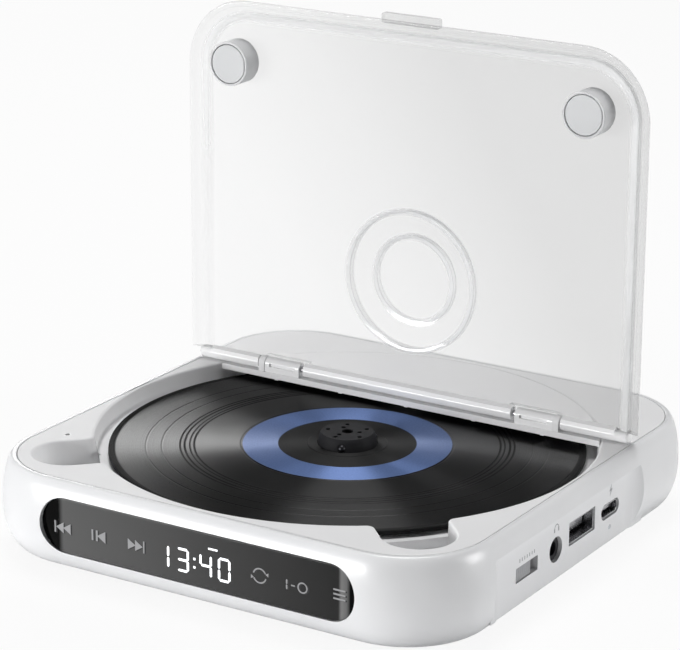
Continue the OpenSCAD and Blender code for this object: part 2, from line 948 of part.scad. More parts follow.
module grommets() {
    color("black")
        on_traverse()
            for (g = grommet_spots)
                translate([g[0], g[1], plate_z])
                    rotate_extrude()
                        polygon([[1.3, -1], [3.2, -1], [3.2, 0], [2.3, 0], [2.3, plate_t], [3.2, plate_t],
                            [2.8, plate_t + 1], [1.3, plate_t + 1]]);
}

module chassis_screws() {
    color("silver")
        on_traverse()
            for (g = grommet_spots)
                translate([g[0], g[1], post_z])
                    rotate_extrude()
                        polygon([[0, -1], [1.9, -1], [2.3, -0.6], [2.3, 0], [0.6, 0], [0.6, 3], [0, 3.2]]);
}

module guide_rods() {
    color("silver")
        on_traverse()
            for (v = [-rod_v, rod_v])
                translate([8.8, v, rod_z])
                    rotate([0, 90, 0])
                        cylinder(r = rod_r, h = 56.4);
}

module pickup_sled() {
    back_u = lens_in - 10.8;
    front_u = lens_in + 5;
    low = 9.8;
    high = 16.4;
    color([0.2, 0.2, 0.22])
        on_traverse()
            difference() {
                translate([back_u, -sled_v, low])
                    cube([front_u - back_u, 2 * sled_v, high - low]);
                box_at([lens_in, 0, high], [9.4, 11, 9]);
                translate([back_u - 1, -rod_v, rod_z])
                    rotate([0, 90, 0])
                        cylinder(r = rod_r + run_fit, h = 30);
                translate([back_u - 1, rod_v - rod_r - run_fit, rod_z - rod_r - run_fit])
                    cube([30, 10, 2 * (rod_r + run_fit)]);
                translate([back_u - 1, 6.2, low + 3.6])
                    cube([7, 10, 10]);
            }
}

// Outline of a gear with involute flanks, one tooth pointing along X
function involute(base, t) = base * [cos(t) + t * PI / 180 * sin(t), sin(t) - t * PI / 180 * cos(t)];
function turned(p, a) = [p[0] * cos(a) - p[1] * sin(a), p[0] * sin(a) + p[1] * cos(a)];
function flank_t(base, r) = 180 / PI * sqrt(max(0, pow(r / base, 2) - 1));

module gear_plan(teeth) {
    pitch = gear_m * teeth / 2;
    base = pitch * cos(pressure);
    tip = pitch + 0.85 * gear_m;
    root = pitch - 1.1 * gear_m;
    first = max(base, root);
    roll = 180 / PI * tan(pressure) - pressure;
    half = 90 / teeth - 180 / PI * backlash / (2 * pitch);
    steps = [for (i = [0:4]) first + (tip - first) * i / 4];
    low_side = [for (r = steps) turned(involute(base, flank_t(base, r)), -half - roll)];
    polygon([for (n = [0:teeth - 1], side = [0, 1], i = [0:5])
        let (edge = side == 0
            ? (i == 0 ? turned([root, 0], -half - roll) : low_side[i - 1])
            : (i == 5 ? turned([root, 0], half + roll) : [low_side[4 - i][0], -low_side[4 - i][1]]))
        turned(edge, 360 / teeth * n)
    ]);
}

module sled_rack() {
    pitch = PI * gear_m;
    tip = 0.85 * gear_m;
    root = 1.1 * gear_m;
    count = 24;
    first = gear_u - (count - 1.5) * pitch;
    half_tip = pitch / 4 - tip * tan(pressure) - backlash / 2;
    half_root = pitch / 4 + root * tan(pressure) - backlash / 2;
    color("ivory")
        on_traverse() {
            translate([0, rack_v, rack_z])
                linear_extrude(1.8)
                    polygon(concat(
                        [[first - 1, 2], [first - 1, root]],
                        [for (i = [0:count - 1], k = [0:3])
                            [first + i * pitch + [-half_root, -half_tip, half_tip, half_root][k],
                                [root, -tip, -tip, root][k]]],
                        [[first + (count - 1) * pitch + 1, root], [first + (count - 1) * pitch + 1, 2]]
                    ));
            translate([lens_in - 9, rack_v + 1.5, rack_z])
                cube([12, -sled_v - rack_v - 1.5, 1.8]);
        }
}

module pickup_lens() {
    color("black")
        on_traverse()
            translate([lens_in, 0, 0])
                rotate_extrude()
                    polygon([[0, 15], [4, 15], [4, 17], [3.4, 17.6], [2.3, 17.6], [2.3, 18.2], [1.9, 18.4],
                        [1.2, 18.5], [0, 18.55]]);
}

module sled_gear() {
    color("ivory")
        on_traverse()
            translate([gear_u, gear_v, 0])
                difference() {
                    union() {
                        translate([0, 0, 8.2])
                            linear_extrude(1)
                                rotate(pinion_turn)
                                    gear_plan(wheel_teeth);
                        translate([0, 0, 9.1])
                            linear_extrude(3.2)
                                rotate(90)
                                    gear_plan(small_teeth);
                    }
                    translate([0, 0, 5])
                        cylinder(r = 0.8, h = 10);
                    for (a = [0:5])
                        rotate([0, 0, 60 * a])
                            translate([5, 0, 7])
                                cylinder(r = 1.3, h = 2.1);
                }
}

module gear_axle() {
    color("silver")
        on_traverse()
            translate([gear_u, gear_v, 0])
                rotate_extrude()
                    polygon([[0, 7.4], [0.75, 7.4], [0.75, 7.6], [1.6, 7.6], [1.6, 7.9], [0.75, 7.9],
                        [0.75, plate_z + plate_t + 0.2], [0, plate_z + plate_t + 0.2]]);
}

module sled_motor() {
    color("silver")
        on_traverse()
            translate([pinion_u, pinion_v, 0])
                rotate_extrude()
                    polygon([[0.55, 10], [1.6, 10], [1.6, 10.6], [5.6, 10.6], [6, 11], [6, 17], [5.7, 17.3],
                        [0, 17.3], [0, 12], [0.55, 12]]);
}

module sled_pinion() {
    color("goldenrod")
        on_traverse()
            translate([pinion_u, pinion_v, 0])
                union() {
                    translate([0, 0, 8])
                        linear_extrude(1.5)
                            rotate(pinion_turn + 180 + 180 / pinion_teeth)
                                gear_plan(pinion_teeth);
                    translate([0, 0, 8])
                        cylinder(r = 0.5, h = 3.8);
                }
}

main_shell();
top_deck();
rear_cover();
base_plate();
base_screws();
rubber_feet();
display_window();
display_board();
main_board();
battery();
headphone_jack();
usb_a_port();
usb_c_port();
switch_body();
switch_knob();
charge_light();
lid_sensor();
hinge_posts();
hinge_bushes();
hinge_pins();
lid_rail();
lid_panel();
lid_bumpers();
bumper_pads();
disc();
turntable();
hub_balls();
spindle_motor();
traverse_chassis();
grommets();
chassis_screws();
guide_rods();
pickup_sled();
sled_rack();
pickup_lens();
sled_gear();
gear_axle();
sled_motor();
sled_pinion();
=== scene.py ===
import math

import bmesh
import bpy
import numpy as np
from mathutils import Matrix, Vector


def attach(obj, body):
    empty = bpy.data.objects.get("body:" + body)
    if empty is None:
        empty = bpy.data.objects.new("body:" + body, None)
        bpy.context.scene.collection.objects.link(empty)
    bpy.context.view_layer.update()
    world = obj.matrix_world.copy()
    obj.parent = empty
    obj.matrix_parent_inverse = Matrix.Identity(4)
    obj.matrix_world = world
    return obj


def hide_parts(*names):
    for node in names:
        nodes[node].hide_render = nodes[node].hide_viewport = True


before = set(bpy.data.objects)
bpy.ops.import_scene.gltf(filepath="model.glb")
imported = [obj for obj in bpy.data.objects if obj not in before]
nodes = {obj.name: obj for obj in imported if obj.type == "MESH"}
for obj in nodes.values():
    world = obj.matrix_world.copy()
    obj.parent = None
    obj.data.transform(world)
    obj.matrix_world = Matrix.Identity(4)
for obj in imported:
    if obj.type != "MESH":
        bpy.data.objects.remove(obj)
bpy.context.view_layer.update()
mm = 0.001
print("frame loaded:", len(nodes), "nodes")

# Shared sizes in millimetres, in the frame of the part
case = {"halfW": 68.0, "halfD": 69.0, "corner": 24.0, "low": 1.2, "widest": 12.1, "deck": 24.2,
        "bulge": 3.0, "tuck": 2.7, "wall": 2.2}
weld = {"merge": 0.000002, "sliver": 0.000001, "cadMerge": 0.000004}   # distances in metres


def makeMesh(name, verts, faces, smoothAngle=35):
    # Vertex rows in millimetres and face lists become a mesh; returns its object
    mesh = bpy.data.meshes.new(name)
    mesh.from_pydata((np.asarray(verts, float) * mm).tolist(), [], [tuple(int(i) for i in f) for f in faces])
    mesh.validate()
    return finishMesh(name, mesh, smoothAngle)


def finishMesh(name, mesh, smoothAngle):
    # Doubles merged, slivers dissolved and faces turned outwards
    work = bmesh.new()
    work.from_mesh(mesh)
    bmesh.ops.remove_doubles(work, verts=work.verts, dist=weld["merge"])
    bmesh.ops.dissolve_degenerate(work, edges=work.edges, dist=weld["sliver"])
    bmesh.ops.recalc_face_normals(work, faces=work.faces)
    work.to_mesh(mesh)
    work.free()
    return showMesh(name, mesh, smoothAngle)


def showMesh(name, mesh, smoothAngle):
    # Smooth shading, with edges over the angle kept sharp, in a new object
    mesh.polygons.foreach_set("use_smooth", np.ones(len(mesh.polygons), bool))
    mesh.set_sharp_from_angle(angle=math.radians(smoothAngle))
    return showObject(name, mesh)


def showObject(name, data):
    # A mesh, lamp or camera put into the scene
    made = bpy.data.objects.new(name, data)
    bpy.context.scene.collection.objects.link(made)
    return made


def gridFaces(rows, cols, closeRows=False, closeCols=False, start=0):
    # Quads between neighbours of a rows x cols grid of points, wrapping round where asked
    r = np.arange(rows if closeRows else rows - 1)
    c = np.arange(cols if closeCols else cols - 1)
    i, j = np.meshgrid(r, c, indexing="ij")
    nextI, nextJ = (i + 1) % rows, (j + 1) % cols
    quads = np.stack([i * cols + j, i * cols + nextJ, nextI * cols + nextJ, nextI * cols + j], -1)
    return (quads.reshape(-1, 4) + start).tolist()


def gridPiece(name, grid, closeRows=False, closeCols=False, capEnds=False, smoothAngle=35):
    # Grid of points (rows, cols, 3) as a surface, with its first and last rows filled where asked
    rows, cols = grid.shape[:2]
    faces = gridFaces(rows, cols, closeRows, closeCols)
    if capEnds:
        faces += [list(range(cols)), list(range((rows - 1) * cols, rows * cols))]
    return makeMesh(name, grid.reshape(-1, 3), faces, smoothAngle)


def turned(name, profile, centre=(0, 0), segments=192, smoothAngle=35):
    # Surface of revolution about Z: each profile point (radius, height) goes round a full circle
    angle = np.linspace(0, 2 * np.pi, segments, endpoint=False)
    r, z = np.asarray(profile, float).T
    grid = np.stack([centre[0] + np.outer(np.cos(angle), r), centre[1] + np.outer(np.sin(angle), r),
                     np.tile(z, (segments, 1))], -1)
    return gridPiece(name, grid, closeRows=True, closeCols=False, smoothAngle=smoothAngle)


def arc(cx, cy, rx, ry, start, stop, count):
    # Points of an ellipse's arc, from one angle to another in degrees
    a = np.radians(np.linspace(start, stop, count))
    return np.stack([cx + rx * np.cos(a), cy + ry * np.sin(a)], -1)


def prism(name, plan, low, high, axis="z"):
    # Plan points (u, v) carried straight along one axis from low to high
    u, v = np.asarray(plan, float).T
    put = {"z": lambda w: (u, v, w), "y": lambda w: (u, w, v), "x": lambda w: (w, u, v)}[axis]
    grid = np.stack([np.stack(put(np.full(len(u), w)), -1) for w in (low, high)])
    return gridPiece(name, grid, closeCols=True, capEnds=True)


def stadiumPlan(w, h, cx=0.0, cy=0.0, count=33):
    # Two half circles of radius h / 2, joined by straight sides
    r = h / 2
    return np.vstack([arc(cx + w / 2 - r, cy, r, r, -90, 90, count),
                      arc(cx - w / 2 + r, cy, r, r, 90, 270, count)])


def boxPlan(w, h, cx, cy, r=0.2):
    # Rectangle with a quarter circle of radius r at each corner
    corners = [(1, 1, 0), (-1, 1, 90), (-1, -1, 180), (1, -1, 270)]
    return np.vstack([arc(cx + sx * (w / 2 - r), cy + sy * (h / 2 - r), r, r, a, a + 90, 7)
                      for sx, sy, a in corners])


def planeLength(xy):
    # Distance of each plan point from the disc's axis
    return np.linalg.norm(xy, axis=1)


def addBoolean(piece, tools, operation, solver="EXACT"):
    # One boolean step on the piece for each tool
    for tool in tools:
        step = piece.modifiers.new("boolean", "BOOLEAN")
        step.operation, step.solver, step.object = operation, solver, tool


def appliedMesh(piece):
    # The piece's mesh with its modifiers worked in
    bpy.context.view_layer.update()
    return bpy.data.meshes.new_from_object(piece.evaluated_get(bpy.context.evaluated_depsgraph_get()))


def cutOut(piece, cutters, smoothAngle=35, solver="EXACT"):
    # The piece less the cutters' volumes, as its new mesh
    addBoolean(piece, cutters, "DIFFERENCE", solver)
    name, mesh = piece.name, appliedMesh(piece)
    for used in (*cutters, piece):
        bpy.data.objects.remove(used)
    return finishMesh(name, mesh, smoothAngle)


easeLook = {"smooth": 40, "flatWithin": 0.5, "edgeFrom": 50, "rings": 2}   # angles in degrees


def softCopy(node, bevel):
    # A CAD node's own shape: its triangles merged, flat ones joined, and every edge eased by a small bevel
    mesh = nodes[node].data.copy()
    work = bmesh.new()
    work.from_mesh(mesh)
    bmesh.ops.remove_doubles(work, verts=work.verts, dist=weld["cadMerge"])
    bmesh.ops.dissolve_limit(
        work, angle_limit=math.radians(easeLook["flatWithin"]), verts=work.verts, edges=work.edges)
    work.to_mesh(mesh)
    work.free()
    piece = showMesh(node + "Soft", mesh, easeLook["smooth"])
    step = piece.modifiers.new("ease", "BEVEL")
    step.width, step.segments, step.limit_method = bevel * mm, easeLook["rings"], "ANGLE"
    step.angle_limit, step.use_clamp_overlap = math.radians(easeLook["edgeFrom"]), True
    flatten = piece.modifiers.new("flatten", "WEIGHTED_NORMAL")   # wide faces decide the shading
    flatten.mode, flatten.keep_sharp = "FACE_AREA", True
    made = appliedMesh(piece)
    made.materials.clear()
    bpy.data.objects.remove(piece)
    return showObject(node + "Soft", made)


def dress(piece, material, body, slot, *replaced):
    # Gives a new piece its material, its body and the nodes it stands for
    piece.data.materials.clear()
    piece.data.materials.append(material)
    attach(piece, body)
    if replaced:
        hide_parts(*replaced)
    return piece


def newGroup(name, inputs, outputs):
    # Empty shader group with named sockets; returns the group, its input node and its output node
    group = bpy.data.node_groups.new(name, "ShaderNodeTree")
    for label, kind, value in inputs:
        socket = group.interface.new_socket(label, in_out="INPUT", socket_type=kind)
        if value is not None:
            socket.default_value = value
    for label, kind in outputs:
        group.interface.new_socket(label, in_out="OUTPUT", socket_type=kind)
    return group, group.nodes.new("NodeGroupInput"), group.nodes.new("NodeGroupOutput")


def addMath(tree, operation, a, b=None, clamp=False):
    # One calculation with numbers or sockets
    node = tree.nodes.new("ShaderNodeMath")
    node.operation, node.use_clamp = operation, clamp
    for socket, value in zip(node.inputs, (a, b)):
        if isinstance(value, (int, float)):
            socket.default_value = value
        elif value is not None:
            tree.links.new(value, socket)
    return node.outputs[0]


def addLength(tree, a, b):
    # Square root of the two squares' sum
    squares = addMath(tree, "ADD", addMath(tree, "MULTIPLY", a, a), addMath(tree, "MULTIPLY", b, b))
    return addMath(tree, "SQRT", squares)


def addRamp(tree, value, stops):
    # Colour ramp with stops of (position, grey level or colour)
    node = tree.nodes.new("ShaderNodeValToRGB")
    while len(node.color_ramp.elements) < len(stops):
        node.color_ramp.elements.new(0.5)
    for element, (place, colour) in zip(node.color_ramp.elements, stops):
        element.position = place
        element.color = (colour,) * 3 + (1,) if isinstance(colour, (int, float)) else (*colour, 1)
    tree.links.new(value, node.inputs[0])
    return node.outputs[0]


def addNoise(tree, vector, scale, detail=3.0, roughness=0.5):
    # Cloud noise of a given scale on a vector
    node = tree.nodes.new("ShaderNodeTexNoise")
    node.inputs["Scale"].default_value = scale
    node.inputs["Detail"].default_value = detail
    node.inputs["Roughness"].default_value = roughness
    tree.links.new(vector, node.inputs["Vector"])
    return node.outputs[0]


def addMix(tree, factor, a, b):
    # Colour a goes over into colour b with the factor
    node = tree.nodes.new("ShaderNodeMix")
    node.data_type = "RGBA"
    for socket, value in ((node.inputs[0], factor), (node.inputs[6], a), (node.inputs[7], b)):
        if isinstance(value, (int, float)):
            socket.default_value = value
        elif isinstance(value, tuple):
            socket.default_value = (*value, 1)
        else:
            tree.links.new(value, socket)
    return node.outputs[2]


grainLook = {"cloud": 38.0, "cloudEnds": (0.35, 0.7), "smudge": 160.0, "waviness": 0.3}


def buildSurfaceGroup():
    # Moulded or rolled surface: two colours mixed by broad clouds, roughness from smudges and fine speckle,
    # and a height from fine grain plus a slow waviness
    group, gin, gout = newGroup(
        "surfaceGrain",
        [("Vector", "NodeSocketVector", None), ("Colour", "NodeSocketColor", (0.8, 0.8, 0.8, 1)),
         ("Second", "NodeSocketColor", (0.7, 0.7, 0.7, 1)), ("Grain Scale", "NodeSocketFloat", 3000.0),
         ("Rough", "NodeSocketFloat", 0.4), ("Rough Spread", "NodeSocketFloat", 0.1)],
        [("Colour", "NodeSocketColor"), ("Roughness", "NodeSocketFloat"), ("Height", "NodeSocketFloat")])
    tree, link = group, group.links.new
    cloud = addNoise(tree, gin.outputs["Vector"], grainLook["cloud"], 4.0)
    mask = addRamp(tree, cloud, list(zip(grainLook["cloudEnds"], (0.0, 1.0))))
    link(addMix(tree, mask, gin.outputs["Colour"], gin.outputs["Second"]), gout.inputs["Colour"])
    grain = tree.nodes.new("ShaderNodeTexNoise")
    grain.inputs["Detail"].default_value = 2.0
    link(gin.outputs["Vector"], grain.inputs["Vector"])
    link(gin.outputs["Grain Scale"], grain.inputs["Scale"])
    smudge = addNoise(tree, gin.outputs["Vector"], grainLook["smudge"], 5.0, 0.6)
    spread = addMath(tree, "SUBTRACT", addMath(tree, "ADD", smudge, grain.outputs[0]), 1.0)
    uneven = addMath(tree, "MULTIPLY", spread, gin.outputs["Rough Spread"])
    link(addMath(tree, "ADD", gin.outputs["Rough"], uneven, clamp=True), gout.inputs["Roughness"])
    wavy = addMath(tree, "MULTIPLY", cloud, grainLook["waviness"])
    link(addMath(tree, "ADD", grain.outputs[0], wavy), gout.inputs["Height"])
    return group


surfaceGroup = buildSurfaceGroup()


def newMaterial(name):
    # Material with its tree, its shader and its output
    material = bpy.data.materials.new(name)
    material.use_nodes = True
    tree = material.node_tree
    return material, tree, tree.nodes["Principled BSDF"], tree.nodes["Material Output"]


def objectPlace(tree):
    # Place on the part, in metres
    return tree.nodes.new("ShaderNodeTexCoord").outputs["Object"]


def splitPlace(tree, where):
    # Its x, y and z
    split = tree.nodes.new("ShaderNodeSeparateXYZ")
    tree.links.new(where, split.inputs[0])
    return tuple(split.outputs)


def addBump(tree, shader, height, strength, distance):
    # The height tilts the shading by a small real depth in metres
    bump = tree.nodes.new("ShaderNodeBump")
    bump.inputs["Strength"].default_value = strength
    bump.inputs["Distance"].default_value = distance
    tree.links.new(height, bump.inputs["Height"])
    tree.links.new(bump.outputs[0], shader.inputs["Normal"])


usualLook = {"grain": 3000.0, "spread": 0.1, "metal": 0.0, "specular": 0.5, "coat": 0.0, "coatRough": 0.1,
             "subsurface": 0.0, "bump": 0.15, "depth": 0.00003, "darker": 0.93}


def plainMaterial(name, ownLook):
    # Two close colours in clouds, uneven roughness and a fine bump: a finish's own values over the usual ones
    look = {**usualLook, **ownLook}
    material, tree, shader, _ = newMaterial(name)
    grain = tree.nodes.new("ShaderNodeGroup")
    grain.node_tree = surfaceGroup
    tree.links.new(objectPlace(tree), grain.inputs["Vector"])
    second = look.get("second", [c * look["darker"] for c in look["colour"]])
    for socket, value in (("Colour", (*look["colour"], 1)), ("Second", (*second, 1)), ("Rough", look["rough"]),
                          ("Rough Spread", look["spread"]), ("Grain Scale", look["grain"])):
        grain.inputs[socket].default_value = value
    tree.links.new(grain.outputs["Colour"], shader.inputs["Base Color"])
    tree.links.new(grain.outputs["Roughness"], shader.inputs["Roughness"])
    for socket, key in (("Metallic", "metal"), ("Specular IOR Level", "specular"), ("Coat Weight", "coat"),
                        ("Coat Roughness", "coatRough"), ("Subsurface Weight", "subsurface")):
        shader.inputs[socket].default_value = look[key]
    addBump(tree, shader, grain.outputs["Height"], look["bump"], look["depth"])
    return material


looks = {
    "caseWhite": {"colour": (0.86, 0.865, 0.875), "second": (0.83, 0.835, 0.85), "rough": 0.34, "spread": 0.08,
                  "grain": 2600.0, "bump": 0.08, "coat": 0.25, "coatRough": 0.18},
    "deckWhite": {"colour": (0.88, 0.88, 0.885), "second": (0.85, 0.85, 0.86), "rough": 0.52, "spread": 0.08,
                  "grain": 3200.0, "bump": 0.1, "specular": 0.35},
    "railWhite": {"colour": (0.95, 0.95, 0.955), "second": (0.93, 0.93, 0.94), "rough": 0.3, "spread": 0.06,
                  "grain": 3200.0, "bump": 0.06, "coat": 0.5, "coatRough": 0.15},
    "baseWhite": {"colour": (0.8, 0.805, 0.815), "rough": 0.52, "spread": 0.12, "grain": 2000.0, "bump": 0.3},
    "footRubber": {"colour": (0.5, 0.51, 0.52), "rough": 0.8, "grain": 2400.0, "bump": 0.4},
    "padRubber": {"colour": (0.72, 0.73, 0.74), "rough": 0.62, "grain": 2600.0, "bump": 0.25},
    "bumperGrey": {"colour": (0.7, 0.705, 0.715), "second": (0.66, 0.665, 0.675), "rough": 0.4},
    "grommetRubber": {"colour": (0.02, 0.02, 0.02), "rough": 0.75, "bump": 0.3},
    "hubDark": {"colour": (0.022, 0.022, 0.024), "second": (0.016, 0.016, 0.018), "rough": 0.6, "grain": 4000.0,
                "bump": 0.25, "specular": 0.12},
    "steelBright": {"colour": (0.62, 0.62, 0.64), "rough": 0.28, "metal": 1.0, "grain": 5000.0, "bump": 0.08},
    "steelDark": {"colour": (0.05, 0.05, 0.055), "rough": 0.45, "metal": 1.0, "grain": 5000.0, "bump": 0.08},
    "motorSteel": {"colour": (0.5, 0.5, 0.52), "rough": 0.36, "metal": 1.0, "bump": 0.1},
    "portSteel": {"colour": (0.58, 0.58, 0.6), "rough": 0.26, "metal": 1.0, "bump": 0.08},
    "boardGreen": {"colour": (0.015, 0.12, 0.05), "second": (0.02, 0.16, 0.07), "rough": 0.4, "bump": 0.2},
    "batteryFoil": {"colour": (0.6, 0.62, 0.66), "rough": 0.35, "metal": 0.7, "grain": 900.0, "bump": 0.5},
    "jackBlack": {"colour": (0.012, 0.012, 0.014), "rough": 0.38, "bump": 0.15},
    "switchGrey": {"colour": (0.42, 0.425, 0.44), "second": (0.36, 0.365, 0.38), "rough": 0.55, "bump": 0.35},
    "lightPipe": {"colour": (0.75, 0.76, 0.78), "rough": 0.2, "subsurface": 0.3},
    "chassisZinc": {"colour": (0.45, 0.46, 0.48), "second": (0.38, 0.39, 0.42), "rough": 0.4, "metal": 1.0,
                    "grain": 700.0, "bump": 0.15},
    "sledDark": {"colour": (0.03, 0.03, 0.034), "rough": 0.5, "bump": 0.2},
    "gearIvory": {"colour": (0.72, 0.68, 0.56), "rough": 0.45, "bump": 0.15, "subsurface": 0.1},
    "pinionBrass": {"colour": (0.6, 0.43, 0.16), "rough": 0.3, "metal": 1.0, "bump": 0.1},
    "lensDark": {"colour": (0.02, 0.02, 0.05), "rough": 0.08, "coat": 1.0, "coatRough": 0.02, "bump": 0.02},
    "iconGrey": {"colour": (0.36, 0.36, 0.37), "rough": 0.35, "bump": 0.05},
    "markGrey": {"colour": (0.38, 0.385, 0.4), "rough": 0.5, "bump": 0.1},
}
materials = {name: plainMaterial(name, look) for name, look in looks.items()}
print("plain materials:", len(materials))


# Openings of the port panel: middle along the side, height, then width and height, or the radius
portLook = {"face": 66.0, "cut": (60, 70), "switch": (-27, 11, 10.8, 3.8), "jack": (-12.5, 11, 3.2),
            "wide": (1, 12.4, 13.6, 6.1), "small": (16, 11.9, 9.7, 4.0), "light": (16, 7.2, 0.65),
            "scoopR": 12, "scoopFrom": 24, "scoopTurn": 42}
shellLook = {"cornerSteps": 40, "sideSteps": 12, "wallSteps": 24, "seam": 3.7, "seamEase": 0.25, "ledge": 22.05,
             "foot": 8.2, "footZ": 2.6, "well": 64.55, "wellZ": 17.4, "windowZ": 13.5, "window": (89, 14.2),
             "flange": (93, 15.8), "windowPad": (97, 16.6)}


def outlinePoints(inset):
    # Rounded rectangle shrunk by each inset: four quarter circles joined by straight sides
    inset = np.atleast_1d(np.asarray(inset, float))
    cornerSteps, sideSteps = shellLook["cornerSteps"], shellLook["sideSteps"]
    ax, ay = case["halfW"] - case["corner"], case["halfD"] - case["corner"]
    signs = ((1, 1), (-1, 1), (-1, -1), (1, -1))
    centres, angles = [], []
    turn = np.linspace(0, np.pi / 2, cornerSteps)
    part = np.linspace(0, 1, sideSteps + 1, endpoint=False)[1:, None]
    for k, (sx, sy) in enumerate(signs):
        nx, ny = signs[(k + 1) % 4]
        centres.append(np.tile((sx * ax, sy * ay), (cornerSteps, 1)))
        angles.append(turn + k * np.pi / 2)
        centres.append((1 - part) * np.array((sx * ax, sy * ay)) + part * np.array((nx * ax, ny * ay)))
        angles.append(np.full(sideSteps, (k + 1) * np.pi / 2))
    centre, angle = np.vstack(centres), np.concatenate(angles)
    r = case["corner"] - inset[None, :]
    c, s = np.cos(angle)[:, None], np.sin(angle)[:, None]
    return np.stack([centre[:, :1] + c * r, centre[:, 1:] + s * r], -1)


def panelPlan():
    # Plan of the cut for the flat port panel: a soft start at the front, and a scooped arc at the back
    face, r = portLook["face"], portLook["scoopR"]
    scoop = np.radians(np.linspace(0, portLook["scoopTurn"], 22))
    start = [(72, -46), (67.8, -45.6), (66.9, -44), (66.3, -42.3), (66.05, -41), (face, -39.6)]
    back = np.stack([face + r * (1 - np.cos(scoop)), portLook["scoopFrom"] + r * np.sin(scoop)], -1)
    return np.vstack([start, back, [(72, 33)]])


def buildShell():
    # The section (inset, height) of the wall goes once round the outline: quarter ellipses below and above the
    # widest line, a short flat rim, then the inner wall back down. Pads carry the panel and the window
    look, low, wide, deck = shellLook, case["low"], case["widest"], case["deck"]
    under = case["bulge"] + case["tuck"]
    a = np.radians(np.linspace(90, 0, look["wallSteps"]))
    outer = np.vstack([np.stack([under * (1 - np.cos(a)), low + (wide - low) * (1 - np.sin(a))], -1),
                       np.stack([case["bulge"] * (1 - np.sin(a)), wide + (deck - wide) * np.cos(a)], -1)[1:]])
    e, seam, ledge, foot = look["seamEase"], look["seam"], look["ledge"], look["foot"]
    rim = arc(seam - e, deck - e, e, e, 90, 0, 5)
    inner = [(seam, ledge), (3.0, ledge), (2.3, 18), (case["wall"], wide), (3.4, 5.5), (5.8, look["footZ"]),
             (foot, look["footZ"])]
    section = np.vstack([[(foot, low)], outer, rim, inner])
    xy = outlinePoints(section[:, 0])
    z = np.broadcast_to(section[:, 1][None, :, None], (*xy.shape[:2], 1))
    shell = gridPiece("caseShell", np.concatenate([xy, z], -1), closeRows=True, closeCols=True)
    middle = look["windowZ"]
    pads = [prism("panelPad", boxPlan(2.7, 78, 65.15, -6), 3.5, 18.5),
            prism("windowPad", stadiumPlan(*look["windowPad"], 0, middle), -67.5, -64.5, "y")]
    addBoolean(shell, pads, "UNION")
    (switchY, switchZ, *switch), (jackY, jackZ, jackR) = portLook["switch"], portLook["jack"]
    (wideY, wideZ, *widePort), (smallY, smallZ, *smallPort) = portLook["wide"], portLook["small"]
    lightY, lightZ, lightR = portLook["light"]
    plans = {"switchCut": boxPlan(*switch, switchY, switchZ, 0.35),
             "jackCut": arc(jackY, jackZ, jackR, jackR, 0, 354, 60),
             "wideCut": boxPlan(*widePort, wideY, wideZ, 0.4),
             "smallCut": stadiumPlan(*smallPort, smallY, smallZ, 17),
             "lightCut": arc(lightY, lightZ, lightR, lightR, 0, 345, 24)}
    cutters = [prism("panelCut", panelPlan(), -1, 19.5),
               prism("windowCut", stadiumPlan(*look["window"], 0, middle), -71, -60, "y"),
               prism("flangeCut", stadiumPlan(*look["flange"], 0, middle), -66.6, -60, "y")]
    cutters += [prism(name, plan, *portLook["cut"], "x") for name, plan in plans.items()]
    r, low = look["well"], look["wellZ"]
    cutters.append(turned("wellCut", [(0, low), (r, low), (r, 30), (0, 30)], segments=256))
    made = cutOut(shell, cutters, smoothAngle=28)
    for pad in pads:
        bpy.data.objects.remove(pad)
    return made


dress(buildShell(), materials["caseWhite"], "case", "case_white", "main_shell")
print("case shell done")


deckLook = {"floor": 19.2, "under": 17.7, "lowR": 62.4, "topR": 63.5, "ease": 0.55, "outline": 3.85,
            "rimEase": 0.25, "rimDeep": 2.0, "pocketTurns": (-45.0, -135.0), "pocketAxis": 50 * math.sqrt(2),
            "pocketR": 8.8, "cornerR": 2.0, "pocketFloor": 16.7, "pocketWall": 1.3, "hubHole": 17.0,
            "slotTurn": 135, "slotHalf": 6.5, "slotEnd": 61.2, "sensor": (-57.7, -39.8), "sensorR": 0.6}


def pocketSides():
    # Centre distance of the rounded corner, its offset from the pocket's axis, and its place along that axis
    look = deckLook
    big, side = look["topR"] + look["cornerR"], look["pocketR"] + look["cornerR"]
    return big, side, math.sqrt(big ** 2 - side ** 2)


def pocketAngles():
    # Angles off the pocket's axis: end circle meets side, side meets corner, corner meets well
    look = deckLook
    _, side, along = pocketSides()
    return (math.atan(look["pocketR"] / look["pocketAxis"]), math.atan(look["pocketR"] / along),
            math.atan(side / along))


